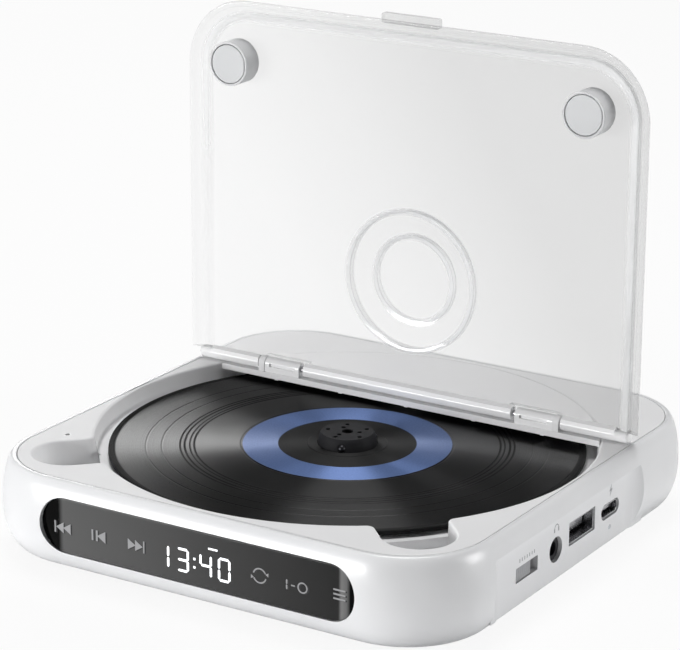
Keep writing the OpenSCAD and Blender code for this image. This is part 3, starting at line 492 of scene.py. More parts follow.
def deckOpening(theta):
    # Edge of the mouth along rays from the disc's middle: well circle, round corner, straight side, round end,
    # with the edge's outward normal and how far each ray has turned from well wall (0) to pocket wall (1)
    look = deckLook
    meet, corner, well = pocketAngles()
    big, side, along = pocketSides()
    ray = np.stack([np.cos(theta), np.sin(theta)], -1)
    edge, normal, pocket = look["topR"] * ray, ray.copy(), np.zeros(theta.shape)
    for axis in np.radians(look["pocketTurns"]):
        phi = (theta - axis + np.pi) % (2 * np.pi) - np.pi
        off, way = np.abs(phi), np.where(phi < 0, -1.0, 1.0)
        sine = np.maximum(np.sin(off), 1e-9)
        end = look["pocketAxis"] * np.cos(off) + np.sqrt(
            np.maximum(look["pocketR"] ** 2 - (look["pocketAxis"] * sine) ** 2, 0))
        turn = well - off
        bend = big * np.cos(turn) - np.sqrt(np.maximum(look["cornerR"] ** 2 - (big * np.sin(turn)) ** 2, 0))
        reach = np.where(off < meet, end, np.where(off < corner, look["pocketR"] / sine, bend))
        u, v = reach * np.cos(off), reach * np.sin(off)
        nu = np.where(off < meet, (u - look["pocketAxis"]) / look["pocketR"],
                      np.where(off < corner, 0.0, (along - u) / look["cornerR"]))
        nv = np.where(off < meet, v / look["pocketR"],
                      np.where(off < corner, 1.0, (side - v) / look["cornerR"]))
        c, s = np.cos(axis), np.sin(axis)
        inside = (off < well)[:, None]
        edge = np.where(inside, np.stack([u * c - way * v * s, u * s + way * v * c], -1), edge)
        normal = np.where(inside, np.stack([nu * c - way * nv * s, nu * s + way * nv * c], -1), normal)
        share = np.clip((well - off) / (well - corner), 0, 1)
        pocket = np.where(off < well, np.maximum(share, 1e-6), pocket)
    return edge, normal, pocket


def deckHole(theta):
    # Inner edge of the floor: the round hole under the hub, drawn out into the pickup's slot with a square end
    look = deckLook
    phi = np.abs((np.degrees(theta) - look["slotTurn"] + 180) % 360 - 180)
    ahead = 80   # degrees; past this only the round hole counts
    s = np.sin(np.radians(np.maximum(phi, 1e-6)))
    slot = np.minimum(look["slotEnd"] / np.cos(np.radians(np.minimum(phi, ahead))), look["slotHalf"] / s)
    return np.where(phi < ahead, np.maximum(look["hubHole"], slot), look["hubHole"])


def rectangleEdge(theta, inset):
    # Where a ray from the centre meets the rounded rectangle, and that edge's outward normal
    ax, ay = case["halfW"] - case["corner"], case["halfD"] - case["corner"]
    r = case["corner"] - inset
    c, s = np.cos(theta), np.sin(theta)
    reach = np.minimum((ax + r) / np.maximum(np.abs(c), 1e-9), (ay + r) / np.maximum(np.abs(s), 1e-9))
    x, y = reach * c, reach * s
    corner = (np.abs(x) > ax) & (np.abs(y) > ay)
    px, py = np.sign(c) * ax, np.sign(s) * ay
    dot = px * c + py * s
    far = dot + np.sqrt(np.maximum(dot ** 2 - (px ** 2 + py ** 2 - r ** 2), 0))
    x, y = np.where(corner, far * c, x), np.where(corner, far * s, y)
    nx = np.where(corner, (x - px) / r, np.where(np.abs(x) > ax, np.sign(c), 0.0))
    ny = np.where(corner, (y - py) / r, np.where(np.abs(x) > ax, 0.0, np.sign(s)))
    return np.stack([x, y], -1), np.stack([nx, ny], -1)


def deckAngles():
    # Directions at which the deck has a column: even steps, with more of them round the pockets and the slot
    look = deckLook
    meet, corner, well = np.degrees(pocketAngles())
    sideReach = np.degrees(np.arcsin(look["pocketR"] / np.linspace(65.65, 71.2, 12)))
    marks = [np.linspace(0, 360, 481)[:-1]]
    for axis in look["pocketTurns"]:
        near = np.concatenate([sideReach, meet - np.geomspace(0.001, meet * 0.6, 20),
                               np.linspace(corner, well, 25), [well + 0.01, well + 0.25]])
        marks += [axis + near, axis - near, [axis]]
    slotSide = np.degrees(np.arcsin(look["slotHalf"] / np.linspace(17.05, 61.5, 24)))
    slotCorner = math.degrees(math.atan(look["slotHalf"] / look["slotEnd"]))
    near = np.concatenate([slotSide[slotSide > slotCorner], [slotCorner, slotCorner * 0.6, 22.6]])
    marks += [look["slotTurn"] + near, look["slotTurn"] - near]
    return np.radians(np.unique(np.round(np.concatenate(marks) % 360, 5)))


def buildDeck():
    # Columns run outwards at many angles: floor, well wall or pocket, lip, flat deck, eased edge, underside
    look, floor, under = deckLook, deckLook["floor"], deckLook["under"]
    theta = deckAngles()
    count = len(theta)
    ray = np.stack([np.cos(theta), np.sin(theta)], -1)
    mouth, normal, pocket = deckOpening(theta)
    inPocket = pocket > 0
    hole = deckHole(theta)[:, None] * ray
    holeR = planeLength(hole)
    edge, edgeNormal = rectangleEdge(theta, look["outline"])
    room = planeLength(edge) - planeLength(mouth)
    deck, e = case["deck"], np.minimum(look["ease"], room - 0.35)   # the lip narrows where the deck is slim
    floorZ = np.where(inPocket, look["pocketFloor"], floor)
    lean = (look["topR"] - look["lowR"]) * (1 - pocket)   # how far the wall's foot stands inside its top
    foot = planeLength(mouth - normal * (lean + 0.5)[:, None])
    stepR = np.where(inPocket, np.minimum(look["lowR"] - 0.15, foot - 0.16), look["lowR"] - 1.0)

    def at(r):   # points at these distances along the rays
        return r[:, None] * ray

    rows = [(hole, under), (hole, floor - 0.15), (hole + 0.15 * ray, floor)]
    rows += [(at(np.maximum(stepR - 0.4, holeR + 0.2)), floor), (at(stepR - 0.02), floor),
             (at(stepR), np.where(inPocket, floor - 0.2, floor)),   # a pocket's floor lies a step lower
             (at(stepR + 0.02), np.where(inPocket, floorZ + 0.1, floor)), (at(stepR + 0.12), floorZ)]
    for away, rise in ((0.5, 0.0), (0.22, 0.07), (0.06, 0.25), (0.0, 0.5)):   # a small round at the wall's foot
        share = 1 - rise / (deck - floorZ)
        rows.append((mouth - normal * (lean * share + away)[:, None], floorZ + rise))
    for turn in np.radians((0, 18, 36, 54, 72, 90)):
        back = lean * e / (deck - floorZ) * (1 - math.sin(turn))
        away = e * (1 - math.cos(turn)) - back
        rows.append((mouth + normal * away[:, None], deck - e + e * math.sin(turn)))
    rows.append((mouth + normal * (e + 0.03)[:, None], deck))
    rimR, rimLow = look["rimEase"], deck - look["rimDeep"]
    rows.append((edge - edgeNormal * (rimR + 0.04), deck))
    for turn in np.radians((90, 60, 30, 0)):
        rows.append((edge - edgeNormal * rimR * (1 - math.cos(turn)), deck - rimR + rimR * math.sin(turn)))
    rows.append((edge, rimLow))
    outside = at(np.maximum(planeLength(mouth) + 1.1, 64.3))
    short = planeLength(outside) > planeLength(edge) - 0.3
    outside[short] = edge[short] - 0.3 * edgeNormal[short]
    inner = at(np.maximum(look["lowR"] - 1.2, holeR + 0.05))
    low = np.where(inPocket, look["pocketFloor"] - look["pocketWall"], under)
    rows += [(outside, rimLow), (outside, low), (inner, low), (inner, under)]
    grid = np.stack([np.column_stack([xy, np.broadcast_to(z, (count,))]) for xy, z in rows], 1)
    made = gridPiece("deckPlate", grid, closeRows=True, closeCols=True, smoothAngle=32)
    r = look["sensorR"]
    sensorCut = turned("sensorCut", [(0, 21), (r, 21), (r, 26), (0, 26)], look["sensor"], 32)
    return cutOut(made, [sensorCut], 32, "MANIFOLD")


dress(buildDeck(), materials["deckWhite"], "case", "deck_white", "top_deck")
print("deck done")


# The ramps' places are distances from the axis, as shares of the disc's edge
discLook = {"low": 20.0, "top": 21.2, "edge": 60.0, "gaps": (50.6, 46.6, 42.0, 40.9, 39.6, 38.5),
            "rings": (38.5, 39.6, 40.9, 42.0), "gloss": 0.35, "grainTurn": 0.02, "uneven": 0.22,
            "blueDeep": (0.115, 0.185, 0.4), "blueLight": (0.16, 0.245, 0.5), "blueMetal": 0.45,
            "blackDeep": (0.003, 0.003, 0.0032), "blackLight": (0.009, 0.0088, 0.009),
            "bluePart": [(0.0, 0.0), (0.2905, 0.0), (0.2925, 1.0), (0.4383, 1.0), (0.4403, 0.0)],
            "trackPart": [(0.0, 0.0), (0.635, 0.0), (0.645, 1.0), (0.97, 1.0), (0.975, 0.0)],
            "roughInside": [(0.0, 0.9), (0.288, 0.9), (0.2925, 0.46), (0.4383, 0.46), (0.445, 0.32)],
            "roughTracks": 0.34, "dull": 1.0}


def buildDisc():
    # Turned section: rounded edge, raised outer band, shallow gaps between bands of tracks and a stepped middle
    low, top, edge = discLook["low"], discLook["top"], discLook["edge"]
    face = [(edge, low + 0.25), (edge, top - 0.3), (edge - 0.08, top - 0.12), (edge - 0.3, top), (58.9, top),
            (58.6, top - 0.1)]
    for gap in discLook["gaps"]:
        face += [(gap + away, top - deep)
                 for away, deep in ((0.28, 0.1), (0.12, 0.16), (-0.12, 0.16), (-0.28, 0.1))]
    face += [(27.2, top - 0.1), (26.7, top - 0.18), (26.5, top - 0.06), (17.6, top - 0.06), (17.4, top - 0.12),
             (10.2, top - 0.12), (10.0, top), (7.8, top), (7.5, top - 0.2)]
    under = [(7.5, low), (16.8, low), (17.3, low - 0.18), (17.9, low - 0.18), (18.2, low), (edge - 0.25, low)]
    return turned("discBody", face + under + [(edge, low + 0.25)], segments=360, smoothAngle=8)


def discMaterial():
    # The distance from the axis drives everything: smooth middle, printed ring, plain band and tracks
    look, edge = discLook, discLook["edge"]
    material, tree, shader, _ = newMaterial("discPlayed")
    link = tree.links.new
    x, y, _ = splitPlace(tree, objectPlace(tree))
    radius = addLength(tree, x, y)
    along = addMath(tree, "DIVIDE", radius, edge * mm)
    polar = tree.nodes.new("ShaderNodeCombineXYZ")   # grain drawn out along the tracks
    link(radius, polar.inputs[0])
    link(addMath(tree, "MULTIPLY", addMath(tree, "ARCTAN2", y, x), look["grainTurn"]), polar.inputs[1])
    ring = tree.nodes.new("ShaderNodeCombineXYZ")
    link(radius, ring.inputs[0])
    grooves = addNoise(tree, ring.outputs[0], 4200.0, 2.0)
    grain = addNoise(tree, polar.outputs[0], 2100.0, 3.0, 0.65)
    blue, tracks = addRamp(tree, along, look["bluePart"]), addRamp(tree, along, look["trackPart"])
    paint = addRamp(tree, grain, [(0.3, look["blueDeep"]), (0.7, look["blueLight"])])
    black = addRamp(tree, grain, [(0.35, look["blackDeep"]), (0.75, look["blackLight"])])
    link(addMix(tree, blue, black, paint), shader.inputs["Base Color"])
    link(addMath(tree, "MULTIPLY", blue, look["blueMetal"]), shader.inputs["Metallic"])
    stops, even, dull = list(look["roughInside"]), look["roughTracks"], look["dull"]
    for r in look["rings"]:   # dull lines where the tracks begin
        stops += [((r + away) / edge, level) for away, level in
                  ((-0.24, even), (-0.12, dull), (0.12, dull), (0.24, even))]
    rough = addRamp(tree, along, stops + [(0.97, even), (0.976, dull)])
    speckle = addMath(tree, "ADD", grain, addMath(tree, "MULTIPLY", grooves, 1.2))
    speckle = addMath(tree, "SUBTRACT", speckle, 1.1)   # about nothing on average
    uneven = addMath(tree, "MULTIPLY", speckle, addMath(tree, "MULTIPLY", tracks, look["uneven"]))
    link(addMath(tree, "ADD", rough, uneven, clamp=True), shader.inputs["Roughness"])
    shader.inputs["Anisotropic"].default_value = 1.0
    shader.inputs["Anisotropic Rotation"].default_value = 0.25   # a quarter turn: streaks run across the tracks
    tangent = tree.nodes.new("ShaderNodeTangent")
    tangent.direction_type, tangent.axis = "RADIAL", "Z"
    link(tangent.outputs[0], shader.inputs["Tangent"])
    shader.inputs["Specular IOR Level"].default_value = look["gloss"]
    height = addMath(tree, "ADD", grooves, addMath(tree, "MULTIPLY", grain, 0.6))
    addBump(tree, shader, addMath(tree, "MULTIPLY", height, tracks), 0.5, 0.00002)
    return material


dress(buildDisc(), discMaterial(), "turntable", "disc_black", "disc")
print("disc done")


lidLook = {"half": 66.8, "length": 97.4, "corner": 18.0, "rear": 1.2, "hinge": (29.6, 26.2),
           "gap": (31.2, 45.4), "gapDeep": 1.05, "run": 6.0, "rim": 1.4, "rimLow": -1.2, "low": -0.2,
           "top": 1.4, "domeUp": 2.2, "tab": (16.6, 2.6)}


def lidEnds():
    # How far the lid reaches behind the dome's middle and in front of it
    return lidLook["hinge"][0] - lidLook["rear"], lidLook["length"] - lidLook["hinge"][0]


def lidEdge(theta):
    # Edge of the lid seen along its thickness, as rays from the dome's middle: straight rear edge with two
    # hinge gaps, straight sides, round free corners; also the outward normal and which rays end at the rear
    look = lidLook
    c, s = np.cos(theta), np.sin(theta)
    back, front = lidEnds()
    c, s = np.cos(theta), np.sin(theta)
    back, front = look["hinge"][0] - look["rear"], look["length"] - look["hinge"][0]
    half, r = look["half"], look["corner"]
    tiny = 1e-9
    reach = np.minimum(half / np.maximum(np.abs(c), tiny),
                       np.where(s > 0, back / np.maximum(s, tiny), front / np.maximum(-s, tiny)))
    x, y = reach * c, reach * s
    onSide = half / np.maximum(np.abs(c), tiny) <= reach + 1e-6
    ax, ay = half - r, -(front - r)
    corner = (np.abs(x) > ax) & (y < ay)
    px, py = np.sign(c) * ax, np.full_like(c, ay)
    dot = px * c + py * s
    far = dot + np.sqrt(np.maximum(dot ** 2 - (px ** 2 + py ** 2 - r ** 2), 0))
    x, y = np.where(corner, far * c, x), np.where(corner, far * s, y)
    nx = np.where(corner, (x - px) / r, np.where(onSide, np.sign(c), 0.0))
    ny = np.where(corner, (y - py) / r, np.where(onSide, 0.0, np.sign(s)))
    rear = ~onSide & (s > 0)
    gap = rear & (np.abs(x) > look["gap"][0]) & (np.abs(x) < look["gap"][1])
    y = np.where(gap, back - look["gapDeep"], y)
    x = np.where(gap, y * c / np.maximum(s, tiny), x)
    return np.stack([x, y], -1), np.stack([nx, ny], -1), rear


def toOpen(x, y, t):
    # Points of the shut lid (x, distance from the dome, height), turned into the open pose behind the disc
    hy, hz = lidLook["hinge"]
    return np.stack([x, hy + t, hz - (y - hy)], -1)


def lidAngles():
    # Directions at which the lid has a column: even steps, with more at every corner and round the free ones
    look = lidLook
    back, front = lidEnds()
    half, r, deep = look["half"], look["corner"], look["gapDeep"]
    marks = [np.linspace(0, 360, 361)[:-1]]
    corners = [(half, back), (half - r, -front), (half, -front + r)]
    corners += [(side, y) for y in (back, back - deep) for side in look["gap"]]
    for px, py in corners:
        near = math.degrees(math.atan2(py, px)) + np.array([-0.006, 0, 0.006])
        marks += [near, 180 - near]
    free = np.linspace(-58, -30, 61)
    marks += [free, 180 - free]
    degrees = np.unique(np.round(np.concatenate(marks) % 360, 4))
    flatEnd = math.degrees(math.atan2(back, half - look["run"]))
    sideEnd = math.degrees(math.atan2(back, half))
    upper = np.where(degrees > 90, 180 - degrees, degrees)
    degrees = degrees[(upper <= sideEnd) | (upper >= flatEnd)]
    return np.radians(np.unique(np.concatenate([degrees, [flatEnd, 180 - flatEnd]])))


def buildLid():
    # Two skins on rays from the dome's middle: the outer one rises from the rim in a quarter ellipse, the inner
    # one follows inside it, and a cone with a flat top stands over the hub
    look, low, top, up = lidLook, lidLook["low"], lidLook["top"], lidLook["domeUp"]
    theta = lidAngles()
    edge, normal, rear = lidEdge(theta)
    ray = np.stack([np.cos(theta), np.sin(theta)], -1)
    swing = np.where(rear, 0.0, 1.0)[:, None]
    run, rimLow = look["run"], look["rimLow"]
    rows = []

    def add(xy, t):   # one row of the skin at height t
        t = np.broadcast_to(np.asarray(t, float), (len(theta),))
        rows.append(toOpen(xy[:, 0], xy[:, 1], t))

    def inset(d):   # the edge moved inwards, but not at the rear
        return edge - normal * d * swing

    outerDome = [(0.01, up + top), (11.4, up + top), (12.2, up + top - 0.12), (12.9, up + top - 0.5),
                 (17.6, top + 0.5), (18.4, top + 0.12), (19.4, top)]
    for r, t in outerDome:
        add(r * ray, t)
    add(19.4 * ray * 0.5 + inset(run) * 0.5, top)
    for a in np.radians(np.linspace(90, 0, 17)):
        add(inset(run * (1 - math.cos(a))), np.where(rear, top, rimLow + (top - rimLow) * math.sin(a)))
    for away in (0.25, look["rim"] - 0.25):
        add(inset(away), np.where(rear, low, rimLow - 0.12))
    for a in np.radians(np.linspace(0, 90, 15)):
        d = run - (run - look["rim"]) * math.cos(a)
        add(inset(d), np.where(rear, low, rimLow + (low - rimLow) * math.sin(a)))
    add(19.0 * ray * 0.5 + inset(run) * 0.5, low)
    innerDome = [(19.0, low), (18.0, low + 0.1), (17.2, low + 0.5), (12.6, low + up - 0.3), (11.8, low + up),
                 (0.01, low + up)]
    for r, t in innerDome:
        add(r * ray, t)
    return gridPiece("lidSheet", np.stack(rows, 1), closeRows=True, smoothAngle=50)


def rimDistance(tree, x, z):
    # Distance in metres of a point on the open lid to the outline: a rectangle with round free corners
    half, r = lidLook["half"] * mm, lidLook["corner"] * mm
    top = (lidLook["hinge"][1] + lidLook["length"]) * mm
    qx = addMath(tree, "SUBTRACT", addMath(tree, "ABSOLUTE", x), half - r)
    qz = addMath(tree, "SUBTRACT", z, top - r)
    outer = addLength(tree, addMath(tree, "MAXIMUM", qx, 0.0), addMath(tree, "MAXIMUM", qz, 0.0))
    inner = addMath(tree, "MINIMUM", addMath(tree, "MAXIMUM", qx, qz), 0.0)
    return addMath(tree, "SUBTRACT", r, addMath(tree, "ADD", outer, inner))


# The painted highlight ramps read a distance in metres times its scale; the painted shade and the highlights'
# fade read the slope to the upper right
clearLook = {
    "colour": (0.93, 0.935, 0.94), "darker": 0.97, "rough": 0.06, "spread": 0.05, "gloss": 1.0, "blend": 0.5,
    "power": 3.0, "edge": 0.85, "haze": 0.05, "across": 5.4, "up": 3.5, "start": 0.24,
    "paintedShadeFilm": [(0.0, 0.995), (0.25, 0.984), (0.47, 0.945), (0.7, 0.882), (1.0, 0.868)],
    "rimScale": 50.0, "paintedRimHighlight": [(0.14, 0.0), (0.19, 1.0), (0.24, 1.0), (0.3, 0.0)],
    "ringScale": 40.0, "paintedRingHighlight": [(0.42, 0.0), (0.44, 1.0), (0.465, 1.0), (0.49, 0.0),
                                    (0.7, 0.0), (0.72, 1.0), (0.745, 1.0), (0.77, 0.0)],
    "paintedHighlightFade": [(0.1, 0.1), (0.45, 0.6), (1.0, 0.8)]}


def clearMaterial():
    # Clear moulded plastic: a see-through sheet with painted shade that deepens towards the upper right, a
    # gloss that grows where the wall turns away from the eye, and a painted whiter highlight where the rim and
    # the dome's ring bend
    look = clearLook
    material, tree, shader, output = newMaterial("lidClear")
    link = tree.links.new
    where = objectPlace(tree)
    smudge = addNoise(tree, where, 45.0, 5.0, 0.62)
    darker = tuple(look["darker"] * c for c in look["colour"])
    link(addRamp(tree, smudge, [(0.35, look["colour"]), (0.75, darker)]), shader.inputs["Base Color"])
    rough = addRamp(tree, smudge, [(0.35, look["rough"]), (0.75, look["rough"] + look["spread"])])
    link(rough, shader.inputs["Roughness"])
    shader.inputs["Specular IOR Level"].default_value = look["gloss"]
    x, _, z = splitPlace(tree, where)
    across, up = addMath(tree, "MULTIPLY", x, look["across"]), addMath(tree, "MULTIPLY", z, look["up"])
    slope = addMath(tree, "ADD", addMath(tree, "ADD", across, up), look["start"])
    clear = tree.nodes.new("ShaderNodeBsdfTransparent")
    # painted shade: the see-through colour darkens towards the upper right
    link(addRamp(tree, slope, look["paintedShadeFilm"]), clear.inputs[0])
    # painted highlight: whiter bands where the rim and the dome's ring bend, weaker towards the lower left
    rim = addRamp(tree, addMath(tree, "MULTIPLY", rimDistance(tree, x, z), look["rimScale"]), look["paintedRimHighlight"])
    reach = addLength(tree, x, addMath(tree, "SUBTRACT", z, sum(lidLook["hinge"]) * mm))
    ring = addRamp(tree, addMath(tree, "MULTIPLY", reach, look["ringScale"]), look["paintedRingHighlight"])
    shine = addRamp(tree, slope, look["paintedHighlightFade"])
    paintedHighlights = addMath(tree, "MULTIPLY", addMath(tree, "MAXIMUM", rim, ring), shine)
    facing = tree.nodes.new("ShaderNodeLayerWeight")
    facing.inputs["Blend"].default_value = look["blend"]
    turnedAway = addMath(tree, "POWER", facing.outputs["Facing"], look["power"])
    veil = addMath(tree, "ADD", addMath(tree, "MULTIPLY", turnedAway, look["edge"]), look["haze"])
    mix = tree.nodes.new("ShaderNodeMixShader")
    link(addMath(tree, "ADD", veil, paintedHighlights, clamp=True), mix.inputs[0])
    link(clear.outputs[0], mix.inputs[1])
    link(shader.outputs[0], mix.inputs[2])
    link(mix.outputs[0], output.inputs["Surface"])
    return material


lidClear = clearMaterial()
dress(buildLid(), lidClear, "lid", "clear_plastic", "lid_panel")


def buildTab():
    # Finger tab: a rounded bar standing out of the free edge
    hy, hz = lidLook["hinge"]
    plan = boxPlan(*lidLook["tab"], 0, hz + lidLook["length"] + 0.3, 0.6)
    return prism("lidTab", plan, hy - 1.1, hy + 0.5, "y")


dress(buildTab(), lidClear, "lid", "clear_plastic")
print("lid done")


# painted reflection: the pane's colour ramp is lighter through the middle and has a bright strip near the right
# end
windowLook = {"w": 88.8, "h": 14.0, "z": 13.5, "front": -68.1, "ease": 0.35, "gloss": 0.06,
              "smokeAndReflection": [(0.0, 0.001), (0.063, 0.001), (0.077, 0.12), (0.3, 0.1), (0.6, 0.06), (0.93, 0.028),
                       (0.942, 0.03), (0.95, 0.22), (0.966, 0.16), (0.976, 0.002)]}


def buildWindow():
    # Stadium outline carried back from an eased front face, widening into the hidden flange: insets and depth
    look, e = windowLook, windowLook["ease"]
    rows = []
    for across, upright, y in ((6.999, 6.999, 0.0), (e, e, 0.0), (e * 0.3, e * 0.3, e * 0.3), (0.0, 0.0, e),
                               (0.0, 0.0, 1.6), (-1.8, -0.7, 1.6), (-1.8, -0.7, 2.3), (6.9, 6.9, 2.3)):
        plan = stadiumPlan(look["w"] - 2 * across, look["h"] - 2 * upright, 0, look["z"])
        rows.append(np.stack([plan[:, 0], np.full(len(plan), look["front"] + y), plan[:, 1]], -1))
    return gridPiece("windowPane", np.stack(rows), closeCols=True, capEnds=True, smoothAngle=30)


def windowMaterial():
    # Smoked pane with painted reflection: its colour depends on the place along the front, as a share of 90 mm:
    # dark smoke, a painted lighter reflection through the middle and a painted bright reflection strip near the
    # right end
    material, tree, shader, _ = newMaterial("windowSmokeAndReflection")
    where = objectPlace(tree)
    along = addMath(tree, "ADD", addMath(tree, "DIVIDE", splitPlace(tree, where)[0], 0.09), 0.5)
    tree.links.new(addRamp(tree, along, windowLook["smokeAndReflection"]), shader.inputs["Base Color"])
    rough = addRamp(tree, addNoise(tree, where, 60.0, 4.0), [(0.3, 0.05), (0.8, 0.11)])
    tree.links.new(rough, shader.inputs["Roughness"])
    shader.inputs["Specular IOR Level"].default_value = windowLook["gloss"]
    return material


dress(buildWindow(), windowMaterial(), "case", "smoked_window", "display_window")


def segmentBar(x0, z0, x1, z1, width):
    # Bar from one point to another with pointed ends, as a six-sided plan
    a, b = np.array((x0, z0), float), np.array((x1, z1), float)
    d = (b - a) / np.linalg.norm(b - a)
    n, h = np.array((-d[1], d[0])), width / 2
    return np.array([a, a + d * h + n * h, b - d * h + n * h, b, b - d * h - n * h, a + d * h - n * h])


def digitBars(digit, x, z, w, h, t):
    # Seven-segment figure: bars a to g on a w by h frame
    lit = {"0": "abcdef", "1": "bc", "3": "abcdg", "4": "bcfg"}[digit]
    m = h / 2
    spots = {"a": (0, h, w, h), "b": (w, m, w, h), "c": (w, 0, w, m), "d": (0, 0, w, 0), "e": (0, 0, 0, m),
             "f": (0, m, 0, h), "g": (0, m, w, m)}
    g = t * 0.12
    bars = []
    for name in lit:
        x0, z0, x1, z1 = spots[name]
        if x0 == x1:
            bars.append(segmentBar(x + x0, z + z0 + g, x + x1, z + z1 - g, t))
        else:
            bars.append(segmentBar(x + x0 + g, z + z0, x + x1 - g, z + z1, t))
    return bars


def flatPlans(name, plans, base, raised, axis):
    # Several flat marks as one piece: each plan is a thin slab standing on the surface
    verts, faces = [], []
    for plan in plans:
        plan = np.asarray(plan, float)
        n, start = len(plan), len(verts)
        for w in (base, raised):
            for u, v in plan:
                verts.append((u, w, v) if axis == "y" else (w, u, v))
        faces += gridFaces(2, n, closeCols=True, start=start)
        faces += [list(range(start, start + n)), list(range(start + n, start + 2 * n))]
    return makeMesh(name, verts, faces, 30)


def ringPlan(cx, cz, r, width, a0, a1, count=17):
    # Part of a ring: the outer arc there and the inner arc back
    return np.vstack([arc(cx, cz, r + width / 2, r + width / 2, a0, a1, count),
                      arc(cx, cz, r - width / 2, r - width / 2, a1, a0, count)])


def triangle(x, z, size, way):
    # Upright edge at x, with its point to the right (1) or to the left (-1)
    return np.array([(x, z - size * 0.62), (x, z + size * 0.62), (x + way * size, z)])


def bar(x, z, w, h):
    # Rectangle about its middle
    return np.array([(x + i * w / 2, z + j * h / 2) for i, j in ((-1, -1), (1, -1), (1, 1), (-1, 1))])


# Middles of the six marks along the window, from the left, then the figures, and how far each layer stands out
markLook = {"x": (-37.6, -27.3, -16.6, 18.4, 27.6, 40.0), "z": (12.9, 13.0, 13.0, 13.2, 12.8, 13.4),
            "shade": 0.42, "digitX": (-10.2, -4.6, 1.9, 7.1), "digitLow": 9.6, "digitSize": (2.9, 5.4, 0.62),
            "colon": 0.15, "thin": 0.34, "low": 0.03, "high": 0.06, "glow": 0.9}


def windowIcons():
    # Plans of the six marks: step back, pause, step on, a turning arrow, a one with a ring, three bars
    (x0, x1, x2, x3, x4, x5), (z0, z1, z2, z3, z4, z5) = markLook["x"], markLook["z"]
    thin = markLook["thin"]
    plans = [bar(x0 - 2.8, z0, 0.35, 3.0), triangle(x0 - 0.3, z0, 2.2, -1), triangle(x0 + 1.8, z0, 2.2, -1)]
    plans += [bar(x1 - 2.0, z1, 0.5, 2.7), bar(x1 - 0.7, z1, 0.5, 2.7), triangle(x1 + 1.8, z1, 2.4, -1)]
    plans += [triangle(x2 - 2.3, z2, 2.2, 1), triangle(x2 - 0.2, z2, 2.2, 1), bar(x2 + 2.3, z2, 0.35, 3.0)]
    plans += [ringPlan(x3, z3, 1.75, thin, start, start + 140) for start in (25, 205)]
    plans += [triangle(x3 + 2.4, z3 + 0.6, 0.8, -1), triangle(x3 - 2.4, z3 - 0.6, 0.8, 1)]
    plans += digitBars("1", x4 - 2.9, z4 - 1.3, 1.1, 2.6, 0.38)
    plans += [bar(x4 - 0.1, z4, 1.0, thin), ringPlan(x4 + 2.5, z4, 1.2, thin, 0, 359, 33)]
    return plans + [bar(x5, z5 + rise, 3.2, 0.4) for rise in (-1.1, 0.0, 1.1)]


def windowDigits():
    # Plans of the lit figures, the colon and the bar over them
    look, low = markLook, markLook["digitLow"]
    plans = []
    for digit, place in zip("1340", look["digitX"]):
        plans += digitBars(digit, place, low, *look["digitSize"])
    plans += [bar(look["colon"], low + rise, 0.6, 0.6) for rise in (1.6, 3.7)]
    return plans + [bar(5.4, low + 7.2, 2.6, 0.45)]


def buildWindowMarks():
    # Three thin layers on the pane: a shade a little to the right of each mark, the marks, and the lit figures
    look, front, step = markLook, windowLook["front"], markLook["shade"]
    icons = windowIcons()
    shades = [np.asarray(plan) + (step, -step * 0.2) for plan in icons]
    layers = (("windowShades", shades, "low", materials["jackBlack"]),
              ("windowIcons", icons, "high", materials["iconGrey"]),
              ("windowDigits", windowDigits(), "low", glowMaterial()))
    for name, plans, height, material in layers:
        slab = flatPlans(name, plans, front + 0.02, front - look[height], "y")
        dress(slab, material, "case", "smoked_window")


def glowMaterial():
    # Lit figures: white light, a little uneven
    material, tree, shader, _ = newMaterial("digitGlow")
    clouds = addNoise(tree, objectPlace(tree), 900.0, 2.0)
    glow = addRamp(tree, clouds, [(0.3, (0.86, 0.9, 0.95)), (0.7, (1, 1, 1))])
    for socket in ("Base Color", "Emission Color"):
        tree.links.new(glow, shader.inputs[socket])
    shader.inputs["Emission Strength"].default_value = markLook["glow"]
    shader.inputs["Roughness"].default_value = 0.4
    return material


buildWindowMarks()
print("window done")


def buildPanelMarks():
    # Raised marks on the port panel: a headset, a bolt and a row of seven ticks
    panel = portLook["face"]
    marks = [ringPlan(-12.4, 16.4, 1.0, 0.26, 0, 180)] + [bar(y, 16.0, 0.55, 0.95) for y in (-13.45, -11.35)]
    marks += [np.array([(16.5, 18.5), (15.3, 16.7), (16.0, 16.7), (15.6, 15.3), (16.9, 17.2), (16.2, 17.2)])]
    marks += [bar(-30.6 + i * 1.2, 14.4, 0.3, 0.9) for i in range(7)]
    slab = flatPlans("panelMarks", marks, panel - 0.02, panel + 0.025, "x")
    dress(slab, materials["markGrey"], "case", "case_white")


buildPanelMarks()

# CAD nodes shown with eased edges: finish, body, slot and bevel in millimetres
eased = {
    "lid_rail": ("railWhite", "lid", "deck_white", 0.12),
    "hinge_posts": ("railWhite", "case", "deck_white", 0.12),
    "hinge_bushes": ("deckWhite", "case", "deck_white", 0.12),
    "rear_cover": ("deckWhite", "case", "deck_white", 0.15),
    "base_plate": ("baseWhite", "case", "deck_white", 0.2),
    "rubber_feet": ("footRubber", "case", "foot_rubber", 0.1),
    "lid_bumpers": ("bumperGrey", "lid", "bumper_grey", 0.15),
    "bumper_pads": ("padRubber", "lid", "pad_rubber", 0.1),
    "switch_knob": ("switchGrey", "switch", "switch_grey", 0.08),
    "turntable": ("hubDark", "turntable", "hub_dark", 0.12),
    "usb_a_port": ("portSteel", "case", "port_steel", 0.08),
    "usb_c_port": ("portSteel", "case", "port_steel", 0.06),
    "headphone_jack": ("jackBlack", "case", "jack_black", 0.12),
}
for node, (finish, body, slot, bevel) in eased.items():
    dress(softCopy(node, bevel), materials[finish], body, slot, node)

